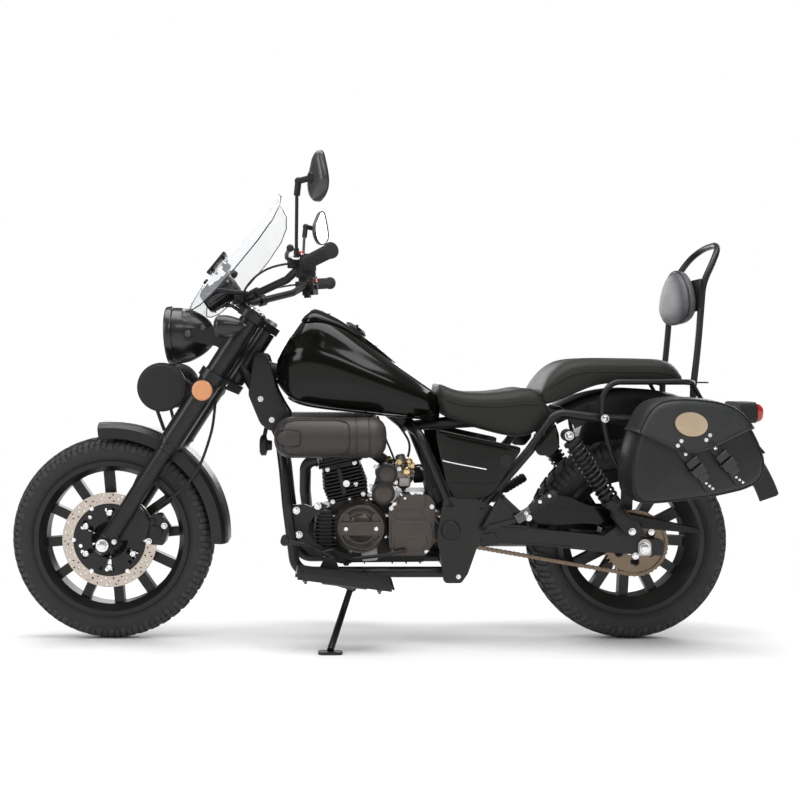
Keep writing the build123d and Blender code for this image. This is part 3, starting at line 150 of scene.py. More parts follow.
def tube(route, bend, radius, segments=14, steps=6, closed=False):
    """A round tube; radius may be a list, one for each smoothed point."""
    path = smooth_route(route, bend, steps) if bend else [Vector(p) for p in route]
    points, faces = [], []
    last_up = None
    count = len(path)
    for i, here in enumerate(path):
        before = path[(i - 1) % count] if closed or i else path[0]
        after = path[(i + 1) % count] if closed or i < count - 1 else path[-1]
        ahead = (after - before).normalized()
        if last_up is None:
            _, side, up = axes_for(ahead)
        else:
            side = ahead.cross(last_up).normalized()
            up = side.cross(ahead)
        last_up = up
        size = radius[i] if isinstance(radius, (list, tuple)) else radius
        for k in range(segments):
            angle = 2 * math.pi * k / segments
            points.append(here + (side * math.cos(angle) + up * math.sin(angle)) * size)
    for i in range(count if closed else count - 1):
        a, b = i * segments, ((i + 1) % count) * segments
        for k in range(segments):
            m = (k + 1) % segments
            faces.append((a + k, a + m, b + m, b + k))
    if not closed:
        faces.append(tuple(range(segments))[::-1])
        faces.append(tuple((count - 1) * segments + k for k in range(segments)))
    return points, faces


def plate(outline, near, far):
    """A flat plate seen from the left: (x, z) corners between two y values."""
    n = len(outline)
    area = sum(a[0] * b[1] - b[0] * a[1] for a, b in zip(outline, outline[1:] + outline[:1]))
    if area < 0:
        outline = outline[::-1]
    points = [Vector((x, near, z)) for x, z in outline] + [Vector((x, far, z)) for x, z in outline]
    faces = [tuple(range(n)), tuple(range(2 * n - 1, n - 1, -1))]
    faces += [(i, n + i, n + (i + 1) % n, (i + 1) % n) for i in range(n)]
    return points, faces


def rounded(outline, radius, steps=4):
    """Corners of a closed (x, z) outline rounded off."""
    out = []
    n = len(outline)
    for i in range(n):
        before, corner, after = (Vector(outline[(i + d) % n]) for d in (-1, 0, 1))
        a, b = before - corner, after - corner
        reach = min(radius, a.length * 0.45, b.length * 0.45)
        p, q = corner + a.normalized() * reach, corner + b.normalized() * reach
        for k in range(steps + 1):
            t = k / steps
            out.append(tuple(p * (1 - t) ** 2 + corner * 2 * t * (1 - t) + q * t ** 2))
    return out


def brick(centre, size, ahead=REARWARD, up=UP):
    """A box by its centre, sizes along ahead, side and up."""
    forward, side, top = axes_for(ahead, up)
    points = [Vector(centre) + forward * (a * size[0] / 2) + side * (b * size[1] / 2)
              + top * (c * size[2] / 2) for a in BOTH for b in BOTH for c in BOTH]
    faces = [(0, 1, 3, 2), (4, 6, 7, 5), (0, 4, 5, 1), (2, 3, 7, 6), (0, 2, 6, 4), (1, 5, 7, 3)]
    return points, faces


def ball(centre, radius):
    """A ball of quads."""
    rings, segments = 8, 16
    points, faces = [], []
    for i in range(rings + 1):
        high = math.pi * i / rings
        for k in range(segments):
            angle = 2 * math.pi * k / segments
            ray = Vector((math.sin(high) * math.cos(angle), math.sin(high) * math.sin(angle), math.cos(high)))
            points.append(Vector(centre) + ray * radius)
    for i in range(rings):
        for k in range(segments):
            m = (k + 1) % segments
            faces.append((i * segments + k, (i + 1) * segments + k, (i + 1) * segments + m, i * segments + m))
    return points, faces


def loft(sections):
    """Faces between matching closed rings of points, with both ends closed."""
    points, faces = [], []
    n = len(sections[0])
    for ring in sections:
        points += [Vector(p) for p in ring]
    for i in range(len(sections) - 1):
        for k in range(n):
            m = (k + 1) % n
            faces.append((i * n + k, i * n + m, (i + 1) * n + m, (i + 1) * n + k))
    faces.append(tuple(range(n))[::-1])
    faces.append(tuple((len(sections) - 1) * n + k for k in range(n)))
    return points, faces


def hex_bolt(at, out, across=8.0, height=5.0, washer=True):
    """A hexagon-headed bolt with a washer, standing on a surface."""
    head = [(0.5, across * 0.56), (height - 1, across * 0.56), (height, across * 0.46)]
    forms = [lathe(at, out, [(-1, across * 0.8), (1.2, across * 0.8)], 16)] if washer else []
    return joined(*forms, lathe(at, out, head, 6))


def cap_screw(at, out, radius=5.0, height=5.0):
    """A socket screw: a round head with a hollow."""
    return lathe(at, out, [(-1, radius), (height - 1, radius), (height, radius - 1), (height, radius * 0.55),
                           (height - 2.5, radius * 0.5), (height - 2.5, 0.01)], 16)


def dome_screw(at, out, radius=5.0, height=3.0):
    """A low round head, for rivets and studs."""
    return lathe(at, out, [(-1, radius), (height * 0.4, radius), (height * 0.85, radius * 0.7),
                           (height, 0.01)], 16)


# -------- pieces
BEVEL_FROM = 35.0
PACKED_SHARP_FROM = 32.0


def piece(name, form, body, slot, material=None, bevel=0.0, smooth=True, subdivide=0, angle=40.0):
    """A form or a list of forms as an object on a body, in its slot's look unless a material is given."""
    points, faces = joined(*form) if isinstance(form, list) else form
    mesh = bpy.data.meshes.new(name)
    mesh.from_pydata([PARKED @ Vector(p) for p in points], [], faces)
    mesh.validate()
    obj = bpy.data.objects.new(name, mesh)
    bpy.context.scene.collection.objects.link(obj)
    mesh.materials.append(material or SLOT_LOOK[slot])
    tidy_normals(obj)
    if bevel:
        edge = obj.modifiers.new("edge", "BEVEL")
        edge.width = bevel / 1000
        edge.segments = 2
        edge.limit_method = "ANGLE"
        edge.angle_limit = math.radians(BEVEL_FROM)
        edge.harden_normals = False
    if subdivide:
        fine = obj.modifiers.new("fine", "SUBSURF")
        fine.levels = fine.render_levels = subdivide
    if smooth:
        shade(obj, angle)
    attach(obj, body)
    return obj


def tidy_normals(obj):
    """Welds a mesh and turns its faces outwards."""
    work = bmesh.new()
    work.from_mesh(obj.data)
    bmesh.ops.remove_doubles(work, verts=work.verts, dist=1e-6)
    bmesh.ops.recalc_face_normals(work, faces=work.faces)
    work.to_mesh(obj.data)
    work.free()


def shade(obj, angle):
    """Smooth shading with sharp edges from an angle in degrees."""
    obj.data.shade_smooth()
    obj.data.set_sharp_from_angle(angle=math.radians(angle))


# -------- shader effects
def set_inputs(node, **values):
    """Values for a node's named inputs, where an underscore stands for a space; returns the node."""
    for label, value in values.items():
        node.inputs[label.replace("_", " ")].default_value = value
    return node


def effect(name, outputs, inputs=()):
    """An empty node group with colour, value or normal outputs."""
    group = bpy.data.node_groups.new(name, "ShaderNodeTree")
    for label, kind, default in inputs:
        socket = group.interface.new_socket(label, in_out="INPUT", socket_type=kind)
        if default is not None:
            socket.default_value = default
    for label, kind in outputs:
        group.interface.new_socket(label, in_out="OUTPUT", socket_type=kind)
    source, sink = group.nodes.new("NodeGroupInput"), group.nodes.new("NodeGroupOutput")
    return group, group.nodes, group.links, source, sink


def grain_group():
    """Fine surface grain, as a normal, and a slow stain, as a value."""
    group, nodes, links, source, sink = effect(
        "surface_grain", [("Normal", "NodeSocketVector"), ("Stain", "NodeSocketFloat")],
        [("Size", "NodeSocketFloat", 900.0), ("Depth", "NodeSocketFloat", 0.15)])
    place = nodes.new("ShaderNodeTexCoord")
    fine = set_inputs(nodes.new("ShaderNodeTexNoise"), Detail=3)
    links.new(place.outputs["Object"], fine.inputs["Vector"])
    links.new(source.outputs["Size"], fine.inputs["Scale"])
    bump = set_inputs(nodes.new("ShaderNodeBump"), Distance=0.001)
    links.new(source.outputs["Depth"], bump.inputs["Strength"])
    links.new(fine.outputs["Fac"], bump.inputs["Height"])
    slow = set_inputs(nodes.new("ShaderNodeTexNoise"), Scale=14, Detail=4)
    links.new(place.outputs["Object"], slow.inputs["Vector"])
    links.new(bump.outputs["Normal"], sink.inputs["Normal"])
    links.new(slow.outputs["Fac"], sink.inputs["Stain"])
    return group


def leather_group():
    """Creased leather: pebbles and long creases as a normal, wear as a value."""
    group, nodes, links, source, sink = effect(
        "leather_grain", [("Normal", "NodeSocketVector"), ("Wear", "NodeSocketFloat")],
        [("Size", "NodeSocketFloat", 420.0), ("Depth", "NodeSocketFloat", 0.25)])
    place = nodes.new("ShaderNodeTexCoord")
    pebble = nodes.new("ShaderNodeTexVoronoi")
    pebble.feature = "DISTANCE_TO_EDGE"
    links.new(place.outputs["Object"], pebble.inputs["Vector"])
    links.new(source.outputs["Size"], pebble.inputs["Scale"])
    crease = set_inputs(nodes.new("ShaderNodeTexNoise"), Scale=26, Detail=6, Distortion=0.8)
    links.new(place.outputs["Object"], crease.inputs["Vector"])
    height = nodes.new("ShaderNodeMath")
    height.operation = "MULTIPLY_ADD"
    height.inputs[1].default_value = 2.2
    links.new(pebble.outputs["Distance"], height.inputs[0])
    links.new(crease.outputs["Fac"], height.inputs[2])
    bump = set_inputs(nodes.new("ShaderNodeBump"), Distance=0.0012)
    links.new(source.outputs["Depth"], bump.inputs["Strength"])
    links.new(height.outputs["Value"], bump.inputs["Height"])
    links.new(bump.outputs["Normal"], sink.inputs["Normal"])
    links.new(crease.outputs["Fac"], sink.inputs["Wear"])
    return group


def brushed_group():
    """Concentric or long brush marks as a normal."""
    group, nodes, links, source, sink = effect(
        "brush_marks", [("Normal", "NodeSocketVector"), ("Streak", "NodeSocketFloat")],
        [("Stretch", "NodeSocketVector", (30.0, 900.0, 30.0))])
    place = nodes.new("ShaderNodeTexCoord")
    scale = nodes.new("ShaderNodeVectorMath")
    scale.operation = "MULTIPLY"
    links.new(place.outputs["Object"], scale.inputs[0])
    links.new(source.outputs["Stretch"], scale.inputs[1])
    noise = set_inputs(nodes.new("ShaderNodeTexNoise"), Scale=1.0, Detail=4)
    links.new(scale.outputs["Vector"], noise.inputs["Vector"])
    bump = set_inputs(nodes.new("ShaderNodeBump"), Strength=0.12, Distance=0.001)
    links.new(noise.outputs["Fac"], bump.inputs["Height"])
    links.new(bump.outputs["Normal"], sink.inputs["Normal"])
    links.new(noise.outputs["Fac"], sink.inputs["Streak"])
    return group


GRAIN, LEATHER, BRUSH = grain_group(), leather_group(), brushed_group()


def finish(name, colour, rough, metal=0.0, coat=0.0, grain=(900.0, 0.1), kind="grain", tint=None, spread=0.06,
           specular=0.5, alpha=1.0):
    """A material whose colour and roughness both follow the slow value of its effect."""
    made = bpy.data.materials.new(name)
    made.use_nodes = True
    nodes, links = made.node_tree.nodes, made.node_tree.links
    shader = nodes["Principled BSDF"]
    set_inputs(shader, Metallic=metal, Coat_Weight=coat, Coat_Roughness=0.06,
               Specular_IOR_Level=specular, Alpha=alpha)
    group = nodes.new("ShaderNodeGroup")
    group.node_tree = {"grain": GRAIN, "leather": LEATHER, "brush": BRUSH}[kind]
    value = group.outputs[1]
    if kind == "brush":
        group.inputs["Stretch"].default_value = grain
    else:
        set_inputs(group, Size=grain[0], Depth=grain[1])
    links.new(group.outputs["Normal"], shader.inputs["Normal"])
    mix = nodes.new("ShaderNodeMix")
    mix.data_type = "RGBA"
    other = tint or tuple(min(1, c * (1 + spread * 6)) for c in colour)
    set_inputs(mix, A=(*colour, 1), B=(*other, 1))
    links.new(value, mix.inputs["Factor"])
    links.new(mix.outputs["Result"], shader.inputs["Base Color"])
    change = set_inputs(nodes.new("ShaderNodeMapRange"), To_Min=max(0.02, rough - spread),
                        To_Max=min(1.0, rough + spread))
    links.new(value, change.inputs["Value"])
    links.new(change.outputs["Result"], shader.inputs["Roughness"])
    return made


FRAME_BLACK = finish("satin_black_paint", (0.008, 0.0078, 0.0075), 0.36, coat=0.08,
                     grain=(700.0, 0.05), specular=0.32)
GLOSS_BLACK = finish("gloss_black_paint", (0.0032, 0.0033, 0.0025), 0.13, specular=0.24, coat=0.04,
                     grain=(160.0, 0.012), spread=0.02)
MATTE_BLACK = finish("matte_black_plastic", (0.011, 0.0108, 0.0105), 0.52, grain=(1500.0, 0.12), specular=0.3)
GRIP_RUBBER = finish("grip_rubber", (0.016, 0.016, 0.016), 0.72, grain=(1700.0, 0.2), specular=0.35)
TYRE_RUBBER = finish("tyre_rubber", (0.016, 0.016, 0.017), 0.66, grain=(1100.0, 0.16), specular=0.35,
                     tint=(0.030, 0.029, 0.028))
# Tread lugs: the casing's rubber painted lighter and bluer, as painted light on the tread.
TREAD_RUBBER_PAINTED_LIGHT = finish("tread_rubber_painted_light", (0.028, 0.029, 0.032), 0.70, grain=(1100.0, 0.16), specular=0.35,
                      tint=(0.046, 0.047, 0.050))
POD_SATIN = finish("pod_satin_paint", (0.036, 0.032, 0.030), 0.46, specular=0.4, metal=0.2,
                   grain=(1300.0, 0.05), tint=(0.052, 0.047, 0.044))
BRONZE = finish("bronze_metallic_paint", (0.040, 0.032, 0.027), 0.36, specular=0.4, metal=0.55, coat=0.35,
                grain=(1300.0, 0.05), tint=(0.070, 0.057, 0.048))
ENGINE_BLACK = finish("engine_black_paint", (0.010, 0.0095, 0.009), 0.46, coat=0.03,
                      grain=(1200.0, 0.2), specular=0.35)
DISC_STEEL = finish("brushed_disc_steel", (0.46, 0.40, 0.34), 0.32, metal=1.0, kind="brush",
                    grain=(60.0, 60.0, 700.0), tint=(0.62, 0.55, 0.48))
CHAIN_STEEL = finish("oiled_chain_steel", (0.14, 0.105, 0.075), 0.38, metal=0.9, tint=(0.24, 0.185, 0.13))
AXLE_STEEL = finish("turned_steel", (0.58, 0.57, 0.57), 0.26, metal=1.0, kind="brush",
                    grain=(40.0, 900.0, 40.0))
PIPE_BLACK = finish("heat_proof_black", (0.012, 0.012, 0.012), 0.42, grain=(1500.0, 0.1))
SEAT_LEATHER = finish("seat_leather", (0.016, 0.0158, 0.0138), 0.50, specular=0.26, kind="leather",
                      grain=(520.0, 0.22), spread=0.1, tint=(0.020, 0.0197, 0.0175))
BAG_LEATHER = finish("bag_leather", (0.0085, 0.0082, 0.0080), 0.38, specular=0.35, kind="leather",
                     grain=(330.0, 0.30), spread=0.1, tint=(0.018, 0.018, 0.019))
# Lid leather painted lighter than the bag's: painted light from above on the same leather.
LID_LEATHER_PAINTED_LIGHT = finish("bag_lid_leather_painted_light", (0.020, 0.0205, 0.0212), 0.40, specular=0.4, kind="leather",
                     grain=(330.0, 0.30), spread=0.1, tint=(0.030, 0.031, 0.032))
# Backrest leather painted far lighter and bluer than the seats: a painted sheen of reflected sky on the pad.
PAD_LEATHER_PAINTED_SHEEN = finish("backrest_leather_painted_sheen", (0.055, 0.056, 0.062), 0.44, specular=0.45, kind="leather",
                     grain=(520.0, 0.20), spread=0.08, tint=(0.085, 0.087, 0.095))
CLASP_BLACK = finish("clasp_plastic", (0.006, 0.006, 0.006), 0.24, coat=0.3,
                     grain=(900.0, 0.04), specular=0.5)
SCREEN = finish("clear_screen", (0.72, 0.76, 0.80), 0.05, alpha=0.12, grain=(4.0, 0.0), spread=0.02)
LENS_CLEAR = finish("fluted_lens", (0.92, 0.93, 0.94), 0.08, alpha=0.35, grain=(4.0, 0.0), spread=0.02)
LENS_RED = finish("red_lens", (0.42, 0.012, 0.010), 0.14, coat=0.6, grain=(500.0, 0.15), spread=0.03)
REFLECTOR_ORANGE = finish("orange_reflector", (0.52, 0.20, 0.075), 0.22, coat=0.5, grain=(620.0, 0.6),
                          spread=0.05, tint=(0.72, 0.33, 0.14))
DIAL_BLACK = finish("dial_case_black", (0.010, 0.010, 0.011), 0.22, coat=0.4, grain=(900.0, 0.04))
SILVER = finish("silver_hardware", (0.66, 0.66, 0.67), 0.26, metal=1.0, grain=(900.0, 0.08))
DARK_METAL = finish("dark_hardware", (0.10, 0.10, 0.10), 0.36, metal=0.9)
WHITE_LINE = finish("white_line", (0.80, 0.80, 0.80), 0.3, coat=0.3, grain=(900.0, 0.02))
MIRROR_GLASS = finish("mirror_glass", (0.75, 0.78, 0.80), 0.04, metal=1.0, grain=(3.0, 0.0), spread=0.01)
REFLECTOR_BOWL = finish("lamp_bowl", (0.80, 0.80, 0.82), 0.12, metal=1.0, grain=(30.0, 0.05), spread=0.02)
MEDAL = finish("medallion_copper", (0.62, 0.46, 0.31), 0.34, metal=0.85, grain=(700.0, 0.12),
               tint=(0.80, 0.66, 0.48))
BARE_ALLOY = finish("bare_alloy", (0.42, 0.39, 0.38), 0.42, metal=0.9, grain=(1100.0, 0.2),
                    tint=(0.55, 0.52, 0.50))
CARB_ALLOY = finish("carburettor_alloy", (0.20, 0.19, 0.17), 0.40, metal=0.9, grain=(1100.0, 0.2),
                    tint=(0.34, 0.31, 0.27))
BRASS = finish("brass_parts", (0.70, 0.50, 0.22), 0.28, metal=1.0, tint=(0.80, 0.62, 0.34))
RED_SWITCH = finish("red_switch", (0.6, 0.03, 0.02), 0.35, grain=(900.0, 0.05))
ORANGE_SWITCH = finish("orange_switch", (0.8, 0.25, 0.03), 0.35, grain=(900.0, 0.05))

LAMP_BLACK = finish("lamp_black_paint", (0.009, 0.0088, 0.0085), 0.30, coat=0.25,
                    grain=(500.0, 0.02), specular=0.4)
LENS_SMOKE = finish("smoked_lens", (0.05, 0.03, 0.02), 0.12, coat=0.6, grain=(500.0, 0.15), spread=0.03)
SCREEN_EDGE = finish("screen_edge_tint", (0.020, 0.022, 0.026), 0.12, coat=0.5,
                     grain=(400.0, 0.01), spread=0.02)
MIRROR_BACK = finish("mirror_back_plastic", (0.030, 0.030, 0.033), 0.34, coat=0.2,
                     grain=(1500.0, 0.06), specular=0.5)

SLOT_LOOK = {"tyre": TYRE_RUBBER, "frame_black": FRAME_BLACK, "gloss_black": GLOSS_BLACK,
             "matte_black": MATTE_BLACK, "grip_rubber": GRIP_RUBBER, "engine_bronze": BRONZE,
             "engine_black": ENGINE_BLACK, "disc_steel": DISC_STEEL, "chain_steel": CHAIN_STEEL,
             "axle_steel": AXLE_STEEL, "pipe_black": PIPE_BLACK, "leather": SEAT_LEATHER,
             "bag_leather": BAG_LEATHER, "clear_screen": SCREEN, "lens_clear": LENS_CLEAR,
             "lens_red": LENS_RED, "reflector_orange": REFLECTOR_ORANGE, "dial_black": DIAL_BLACK}

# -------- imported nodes
for row in frame["record"]["subparts"]:
    node = frame["nodes"][row["node"]]
    look = SLOT_LOOK[row["material_slot"]]
    if not node.material_slots:
        node.data.materials.append(look)
    for place in node.material_slots:
        place.material = look
    shade(node, PACKED_SHARP_FROM)


# -------- more forms
def turned_ring(base, direction, outline, segments=96):
    """A turned ring from a closed outline of (along, radius)."""
    ahead, side, up = axes_for(direction)
    n = len(outline)
    points, faces = [], []
    for i in range(segments):
        angle = 2 * math.pi * i / segments
        ray = side * math.cos(angle) + up * math.sin(angle)
        points += [Vector(base) + ahead * along + ray * radius for along, radius in outline]
    for i in range(segments):
        a, b = i * n, ((i + 1) % segments) * n
        for k in range(n):
            m = (k + 1) % n
            faces.append((a + k, b + k, b + m, a + m))
    return points, faces


def circle(x, z, radius, count):
    """A round (x, z) outline."""
    return [(x + radius * math.cos(2 * math.pi * i / count), z + radius * math.sin(2 * math.pi * i / count))
            for i in range(count)]


def places_round(centre, radius, count, start=0):
    """(x, z) places spread evenly on a circle, the first at start degrees."""
    turns = [math.radians(start + 360 * i / count) for i in range(count)]
    return [(centre.x + radius * math.cos(turn), centre.z + radius * math.sin(turn)) for turn in turns]


def ring_of_holes(centre, radius, count, start, hole, segments):
    """Round outlines spread evenly on a circle."""
    return [circle(x, z, hole, segments) for x, z in places_round(centre, radius, count, start)]


def cut_plate(outlines, near, far):
    """A flat plate between two y values with openings; its own outlines come first."""
    work = bmesh.new()
    edges = []
    for outline in outlines:
        ring = [work.verts.new((x, near, z)) for x, z in outline]
        edges += [work.edges.new(ends) for ends in zip(ring, ring[1:] + ring[:1])]
    filled = bmesh.ops.triangle_fill(work, edges=edges, use_beauty=True, normal=LEFT)
    face = [item for item in filled["geom"] if isinstance(item, bmesh.types.BMFace)]
    made = bmesh.ops.extrude_face_region(work, geom=face)
    for item in made["geom"]:
        if isinstance(item, bmesh.types.BMVert):
            item.co.y = far
    work.verts.index_update()
    form = [Vector(v.co) for v in work.verts], [tuple(v.index for v in face.verts) for face in work.faces]
    work.free()
    return form


def around(centre, radius, degrees, y=0.0):
    """A place round an axle, by its distance from it, its angle and how far it stands aside."""
    angle = math.radians(degrees)
    return centre + Vector((math.cos(angle) * radius, y, math.sin(angle) * radius))


def bolt_row(places, y, across, height):
    """Hexagon-headed bolts on a face at y, seen from the left, at (x, z) places."""
    return [hex_bolt((x, y, z), LEFT, across, height) for x, z in places]


def arc_by_three(a, b, c, steps):
    """Points on the arc from a through b to c, all (u, v)."""
    ax, ay, bx, by, cx, cy = *a, *b, *c
    far_a, far_b, far_c = ax * ax + ay * ay, bx * bx + by * by, cx * cx + cy * cy
    d = 2 * (ax * (by - cy) + bx * (cy - ay) + cx * (ay - by))
    ux = (far_a * (by - cy) + far_b * (cy - ay) + far_c * (ay - by)) / d
    uy = (far_a * (cx - bx) + far_b * (ax - cx) + far_c * (bx - ax)) / d
    radius = math.hypot(ax - ux, ay - uy)
    first, mid, last = (math.atan2(y - uy, x - ux) for x, y in (a, b, c))
    turn = (last - first) % (2 * math.pi)
    if (mid - first) % (2 * math.pi) > turn:
        turn -= 2 * math.pi
    return [(ux + radius * math.cos(first + turn * i / steps),
             uy + radius * math.sin(first + turn * i / steps)) for i in range(steps + 1)]


def spline(knots, x):
    """Smooth values through knots [(x, v, v, ...)], at x."""
    if x <= knots[0][0]:
        return list(knots[0][1:])
    if x >= knots[-1][0]:
        return list(knots[-1][1:])
    i = max(k for k in range(len(knots) - 1) if knots[k][0] <= x)
    a, b = knots[i], knots[i + 1]
    before, after = knots[max(0, i - 1)], knots[min(len(knots) - 1, i + 2)]
    span = b[0] - a[0]
    t = (x - a[0]) / span
    out = []
    for k in range(1, len(a)):
        slope_a = (b[k] - before[k]) / (b[0] - before[0]) * span
        slope_b = (after[k] - a[k]) / (after[0] - a[0]) * span
        out.append((2 * t ** 3 - 3 * t ** 2 + 1) * a[k] + (t ** 3 - 2 * t ** 2 + t) * slope_a
                   + (3 * t ** 2 - 2 * t ** 3) * b[k] + (t ** 3 - t ** 2) * slope_b)
    return out


def evened(outline, count):
    """A closed outline with points at even distances."""
    ring = [Vector(p) for p in outline]
    lengths = [(ring[(i + 1) % len(ring)] - ring[i]).length for i in range(len(ring))]
    whole = sum(lengths)
    out, i, walked = [], 0, 0.0
    for k in range(count):
        goal = whole * k / count
        while walked + lengths[i] < goal:
            walked += lengths[i]
            i += 1
        out.append(ring[i].lerp(ring[(i + 1) % len(ring)], (goal - walked) / lengths[i]))
    return out


def blunted(share, power):
    """A sine or cosine drawn towards 1 or -1, which squares an oval's shoulders."""
    return abs(share) ** power * (1 if share > 0 else -1)


# -------- tyres
TREAD_DEPTH = 6.0
LUG_DEPTH = 8.0


def tyre_pieces(name, node, axle, tread, half, seat, seat_half, wall, pitches):
    """A tyre with its ribs and tread; tread and seat are radii, wall is its thickness."""
    body = name + "_wheel"
    bead_top, middle = seat + 11, (tread + seat) / 2 + 3
    shoulder, shoulder_half = tread - 0.36 * half, 0.90 * half
    lug_foot, lug_top = shoulder - 6, shoulder - 3
    outer = [(seat, -seat_half)]
    outer += arc_by_three((bead_top, -seat_half), (middle, -half + 0.6), (lug_foot, -shoulder_half - 1), 9)
    outer += arc_by_three((lug_top, -shoulder_half), (tread - TREAD_DEPTH, 0), (lug_top, shoulder_half), 16)
    outer += arc_by_three((lug_foot, shoulder_half + 1), (middle, half - 0.6), (bead_top, seat_half), 9)
    outer += [(seat, seat_half), (seat, seat_half - wall)]
    belly = (seat + shoulder) / 2
    crown_edge, crown_half = shoulder - wall, shoulder_half - wall
    inside = arc_by_three((seat, seat_half - wall), (belly, half - wall), (crown_edge, crown_half), 6)[1:]
    inside += arc_by_three((crown_edge, crown_half), (tread - wall - TREAD_DEPTH, 0),
                           (crown_edge, -crown_half), 8)[1:]
    inside += arc_by_three((crown_edge, -crown_half), (belly, wall - half), (seat, wall - seat_half), 6)[1:]
    outline = [(y, radius) for radius, y in outer + inside]
    casing = piece(name + "_casing", turned_ring(axle, RIGHT, outline, 128), body, "tyre", angle=35)
    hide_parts(node)

    side_wall = arc_by_three((bead_top, seat_half), (middle, half - 0.6), (lug_foot, shoulder_half + 1), 24)
    ribs = []
    for radius, height in ((bead_top + 6, 1.0), (bead_top + 11, 0.7), (middle + 14, 0.9), (middle + 18, 0.9)):
        width = min(side_wall, key=lambda spot: abs(spot[0] - radius))[1]
        for side in BOTH:
            foot, top = side * (width - 1), side * (width + height)
            rib = [(foot, radius - 1.3), (top, radius - 0.5), (top, radius + 0.5), (foot, radius + 1.3)]
            ribs.append(turned_ring(axle, RIGHT, rib, 128))
    piece(name + "_wall_ribs", ribs, body, "tyre")

    crown = arc_by_three((shoulder, -shoulder_half), (tread, 0), (shoulder, shoulder_half), 40)

    def lug(places, side, centre_angle, width_angle, skew):
        """A lug through places of (share of the half width, radius or None for the crown, depth)."""
        rows, spots = [], []
        for share, radius, depth in places:
            on_crown = min(crown, key=lambda spot: abs(spot[1] - share * half))[0]
            spots.append((side * share * half, radius or on_crown, depth))
        span = spots[-1][0] - spots[0][0]
        for y, radius, depth in spots:
            lean = skew * side * ((y - spots[0][0]) / span - 0.5)
            ring = []
            for reach, spread in ((radius - depth, -0.5), (radius - depth, 0.5), (radius, 0.44),
                                  (radius, -0.44)):
                angle = math.radians(centre_angle + lean + width_angle * spread)
                ring.append(axle + Vector((math.cos(angle) * reach, y, math.sin(angle) * reach)))
            rows.append(ring)
        return loft(rows)

    long_lug = [(1.008, shoulder - 17, 3), (0.99, shoulder - 9, 5), (0.92, shoulder - 1, 6),
                (0.80, None, LUG_DEPTH), (0.56, None, LUG_DEPTH)]
    short_lug = [(0.985, shoulder - 9, 4), (0.90, shoulder + 1.5, 6), (0.70, None, LUG_DEPTH)]
    crown_lug = [(0.49, None, LUG_DEPTH), (0.30, None, LUG_DEPTH), (0.08, None, LUG_DEPTH)]
    pitch = 360.0 / pitches
    lugs = []
    for i in range(pitches):
        for side in BOTH:
            turn = i * pitch + (pitch / 2 if side > 0 else 0)
            lugs.append(lug(long_lug, side, turn, pitch * 0.40, 1.0))
            lugs.append(lug(short_lug, side, turn + pitch / 2, pitch * 0.34, 1.0))
            lugs.append(lug(crown_lug, side, turn + pitch * 0.3, pitch * 0.66, 2.6))
    # The lugs are painted lighter than the casing: painted light on the tread.
    piece(name + "_tread", lugs, body, "tyre", TREAD_RUBBER_PAINTED_LIGHT, smooth=False)


tyre_pieces("front", "front_tyre", FRONT_AXLE, tread=295.0, half=49.0, seat=214.3, seat_half=37.7,
            wall=10, pitches=48)
tyre_pieces("rear", "rear_tyre", REAR_AXLE, tread=290.0, half=62.0, seat=202.3, seat_half=45.7,
            wall=12, pitches=44)

# -------- brake disc
DISC_NEAR, DISC_FAR = -58.3, -53.3
DISC_INNER, DISC_OUTER = 103, 136
CARRIER_NEAR, CARRIER_FAR = -58.9, -52.9
DISC_HOLE = 2.9

outlines = [circle(FRONT_AXLE.x, FRONT_AXLE.z, radius, 120) for radius in (DISC_INNER, DISC_OUTER)]
for radius, start in ((111, 0), (120, 6), (129, 2)):
    outlines += ring_of_holes(FRONT_AXLE, radius, 30, start, DISC_HOLE, 12)
disc = piece("brake_disc_ring", cut_plate(outlines, DISC_NEAR, DISC_FAR), "front_wheel", "disc_steel",
             bevel=0.5, smooth=False)
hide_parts("front_disc")
outlines = [circle(FRONT_AXLE.x, FRONT_AXLE.z, radius, 120) for radius in (52, DISC_INNER + 1.6)]
for radius, start, hole in ((86, 12, 6), (86, 24, 6), (86, 36, 6), (64, 30, 9)):
    outlines += ring_of_holes(FRONT_AXLE, radius, 6, start, hole, 12)
piece("disc_carrier", cut_plate(outlines, CARRIER_NEAR, CARRIER_FAR), "front_wheel", "disc_steel",
      FRAME_BLACK, bevel=0.6, smooth=False)
bolts = []
for turn in range(0, 360, 60):
    bolts.append(cap_screw(around(FRONT_AXLE, 78, turn + 30, -58.8), LEFT, 8.5, 6))
    bolts.append(lathe(around(FRONT_AXLE, DISC_INNER, turn, -59.6), RIGHT,
                       [(0, 0.01), (0, 6), (1.5, 6.5), (7, 6.5), (7, 0.01)], 14))
piece("disc_bolts", bolts, "front_wheel", "disc_steel", SILVER)

# -------- fuel tank
TANK_KNOTS = [
    # x, widest half width, top, shoulder height, shoulder half width, foot half width, bottom
    (-272, 46, 818, 800, 40, 40, 748),
    (-258, 72, 846, 822, 56, 56, 726),
    (-232, 100, 890, 852, 74, 76, 700),
    (-200, 116, 930, 866, 86, 88, 686),
    (-163, 126, 955, 866, 94, 94, 678),
    (-110, 134, 938, 852, 100, 100, 671),
    (-60, 138, 908, 828, 104, 102, 666),
    (0, 137, 862, 800, 103, 100, 659),
    (60, 130, 812, 772, 99, 96, 652),
    (110, 116, 776, 748, 90, 88, 647),
    (155, 95, 743, 724, 74, 74, 643),
    (185, 73, 722, 706, 58, 60, 642),
    (198, 60, 712, 698, 50, 52, 643),
]
TANK_STATIONS = [-272, -266, -252, -232, -206, -180, -150, -115, -75, -30, 20, 65, 105, 140,
                 170, 190, 197, 198]
DASH_KNOTS = [(-200, 44), (-188, 66), (-160, 75), (-110, 73), (-60, 66), (0, 55), (50, 40),
              (66, 28), (74, 14)]
DASH_FRONT, DASH_LENGTH, DASH_STATIONS = -200, 274, 34


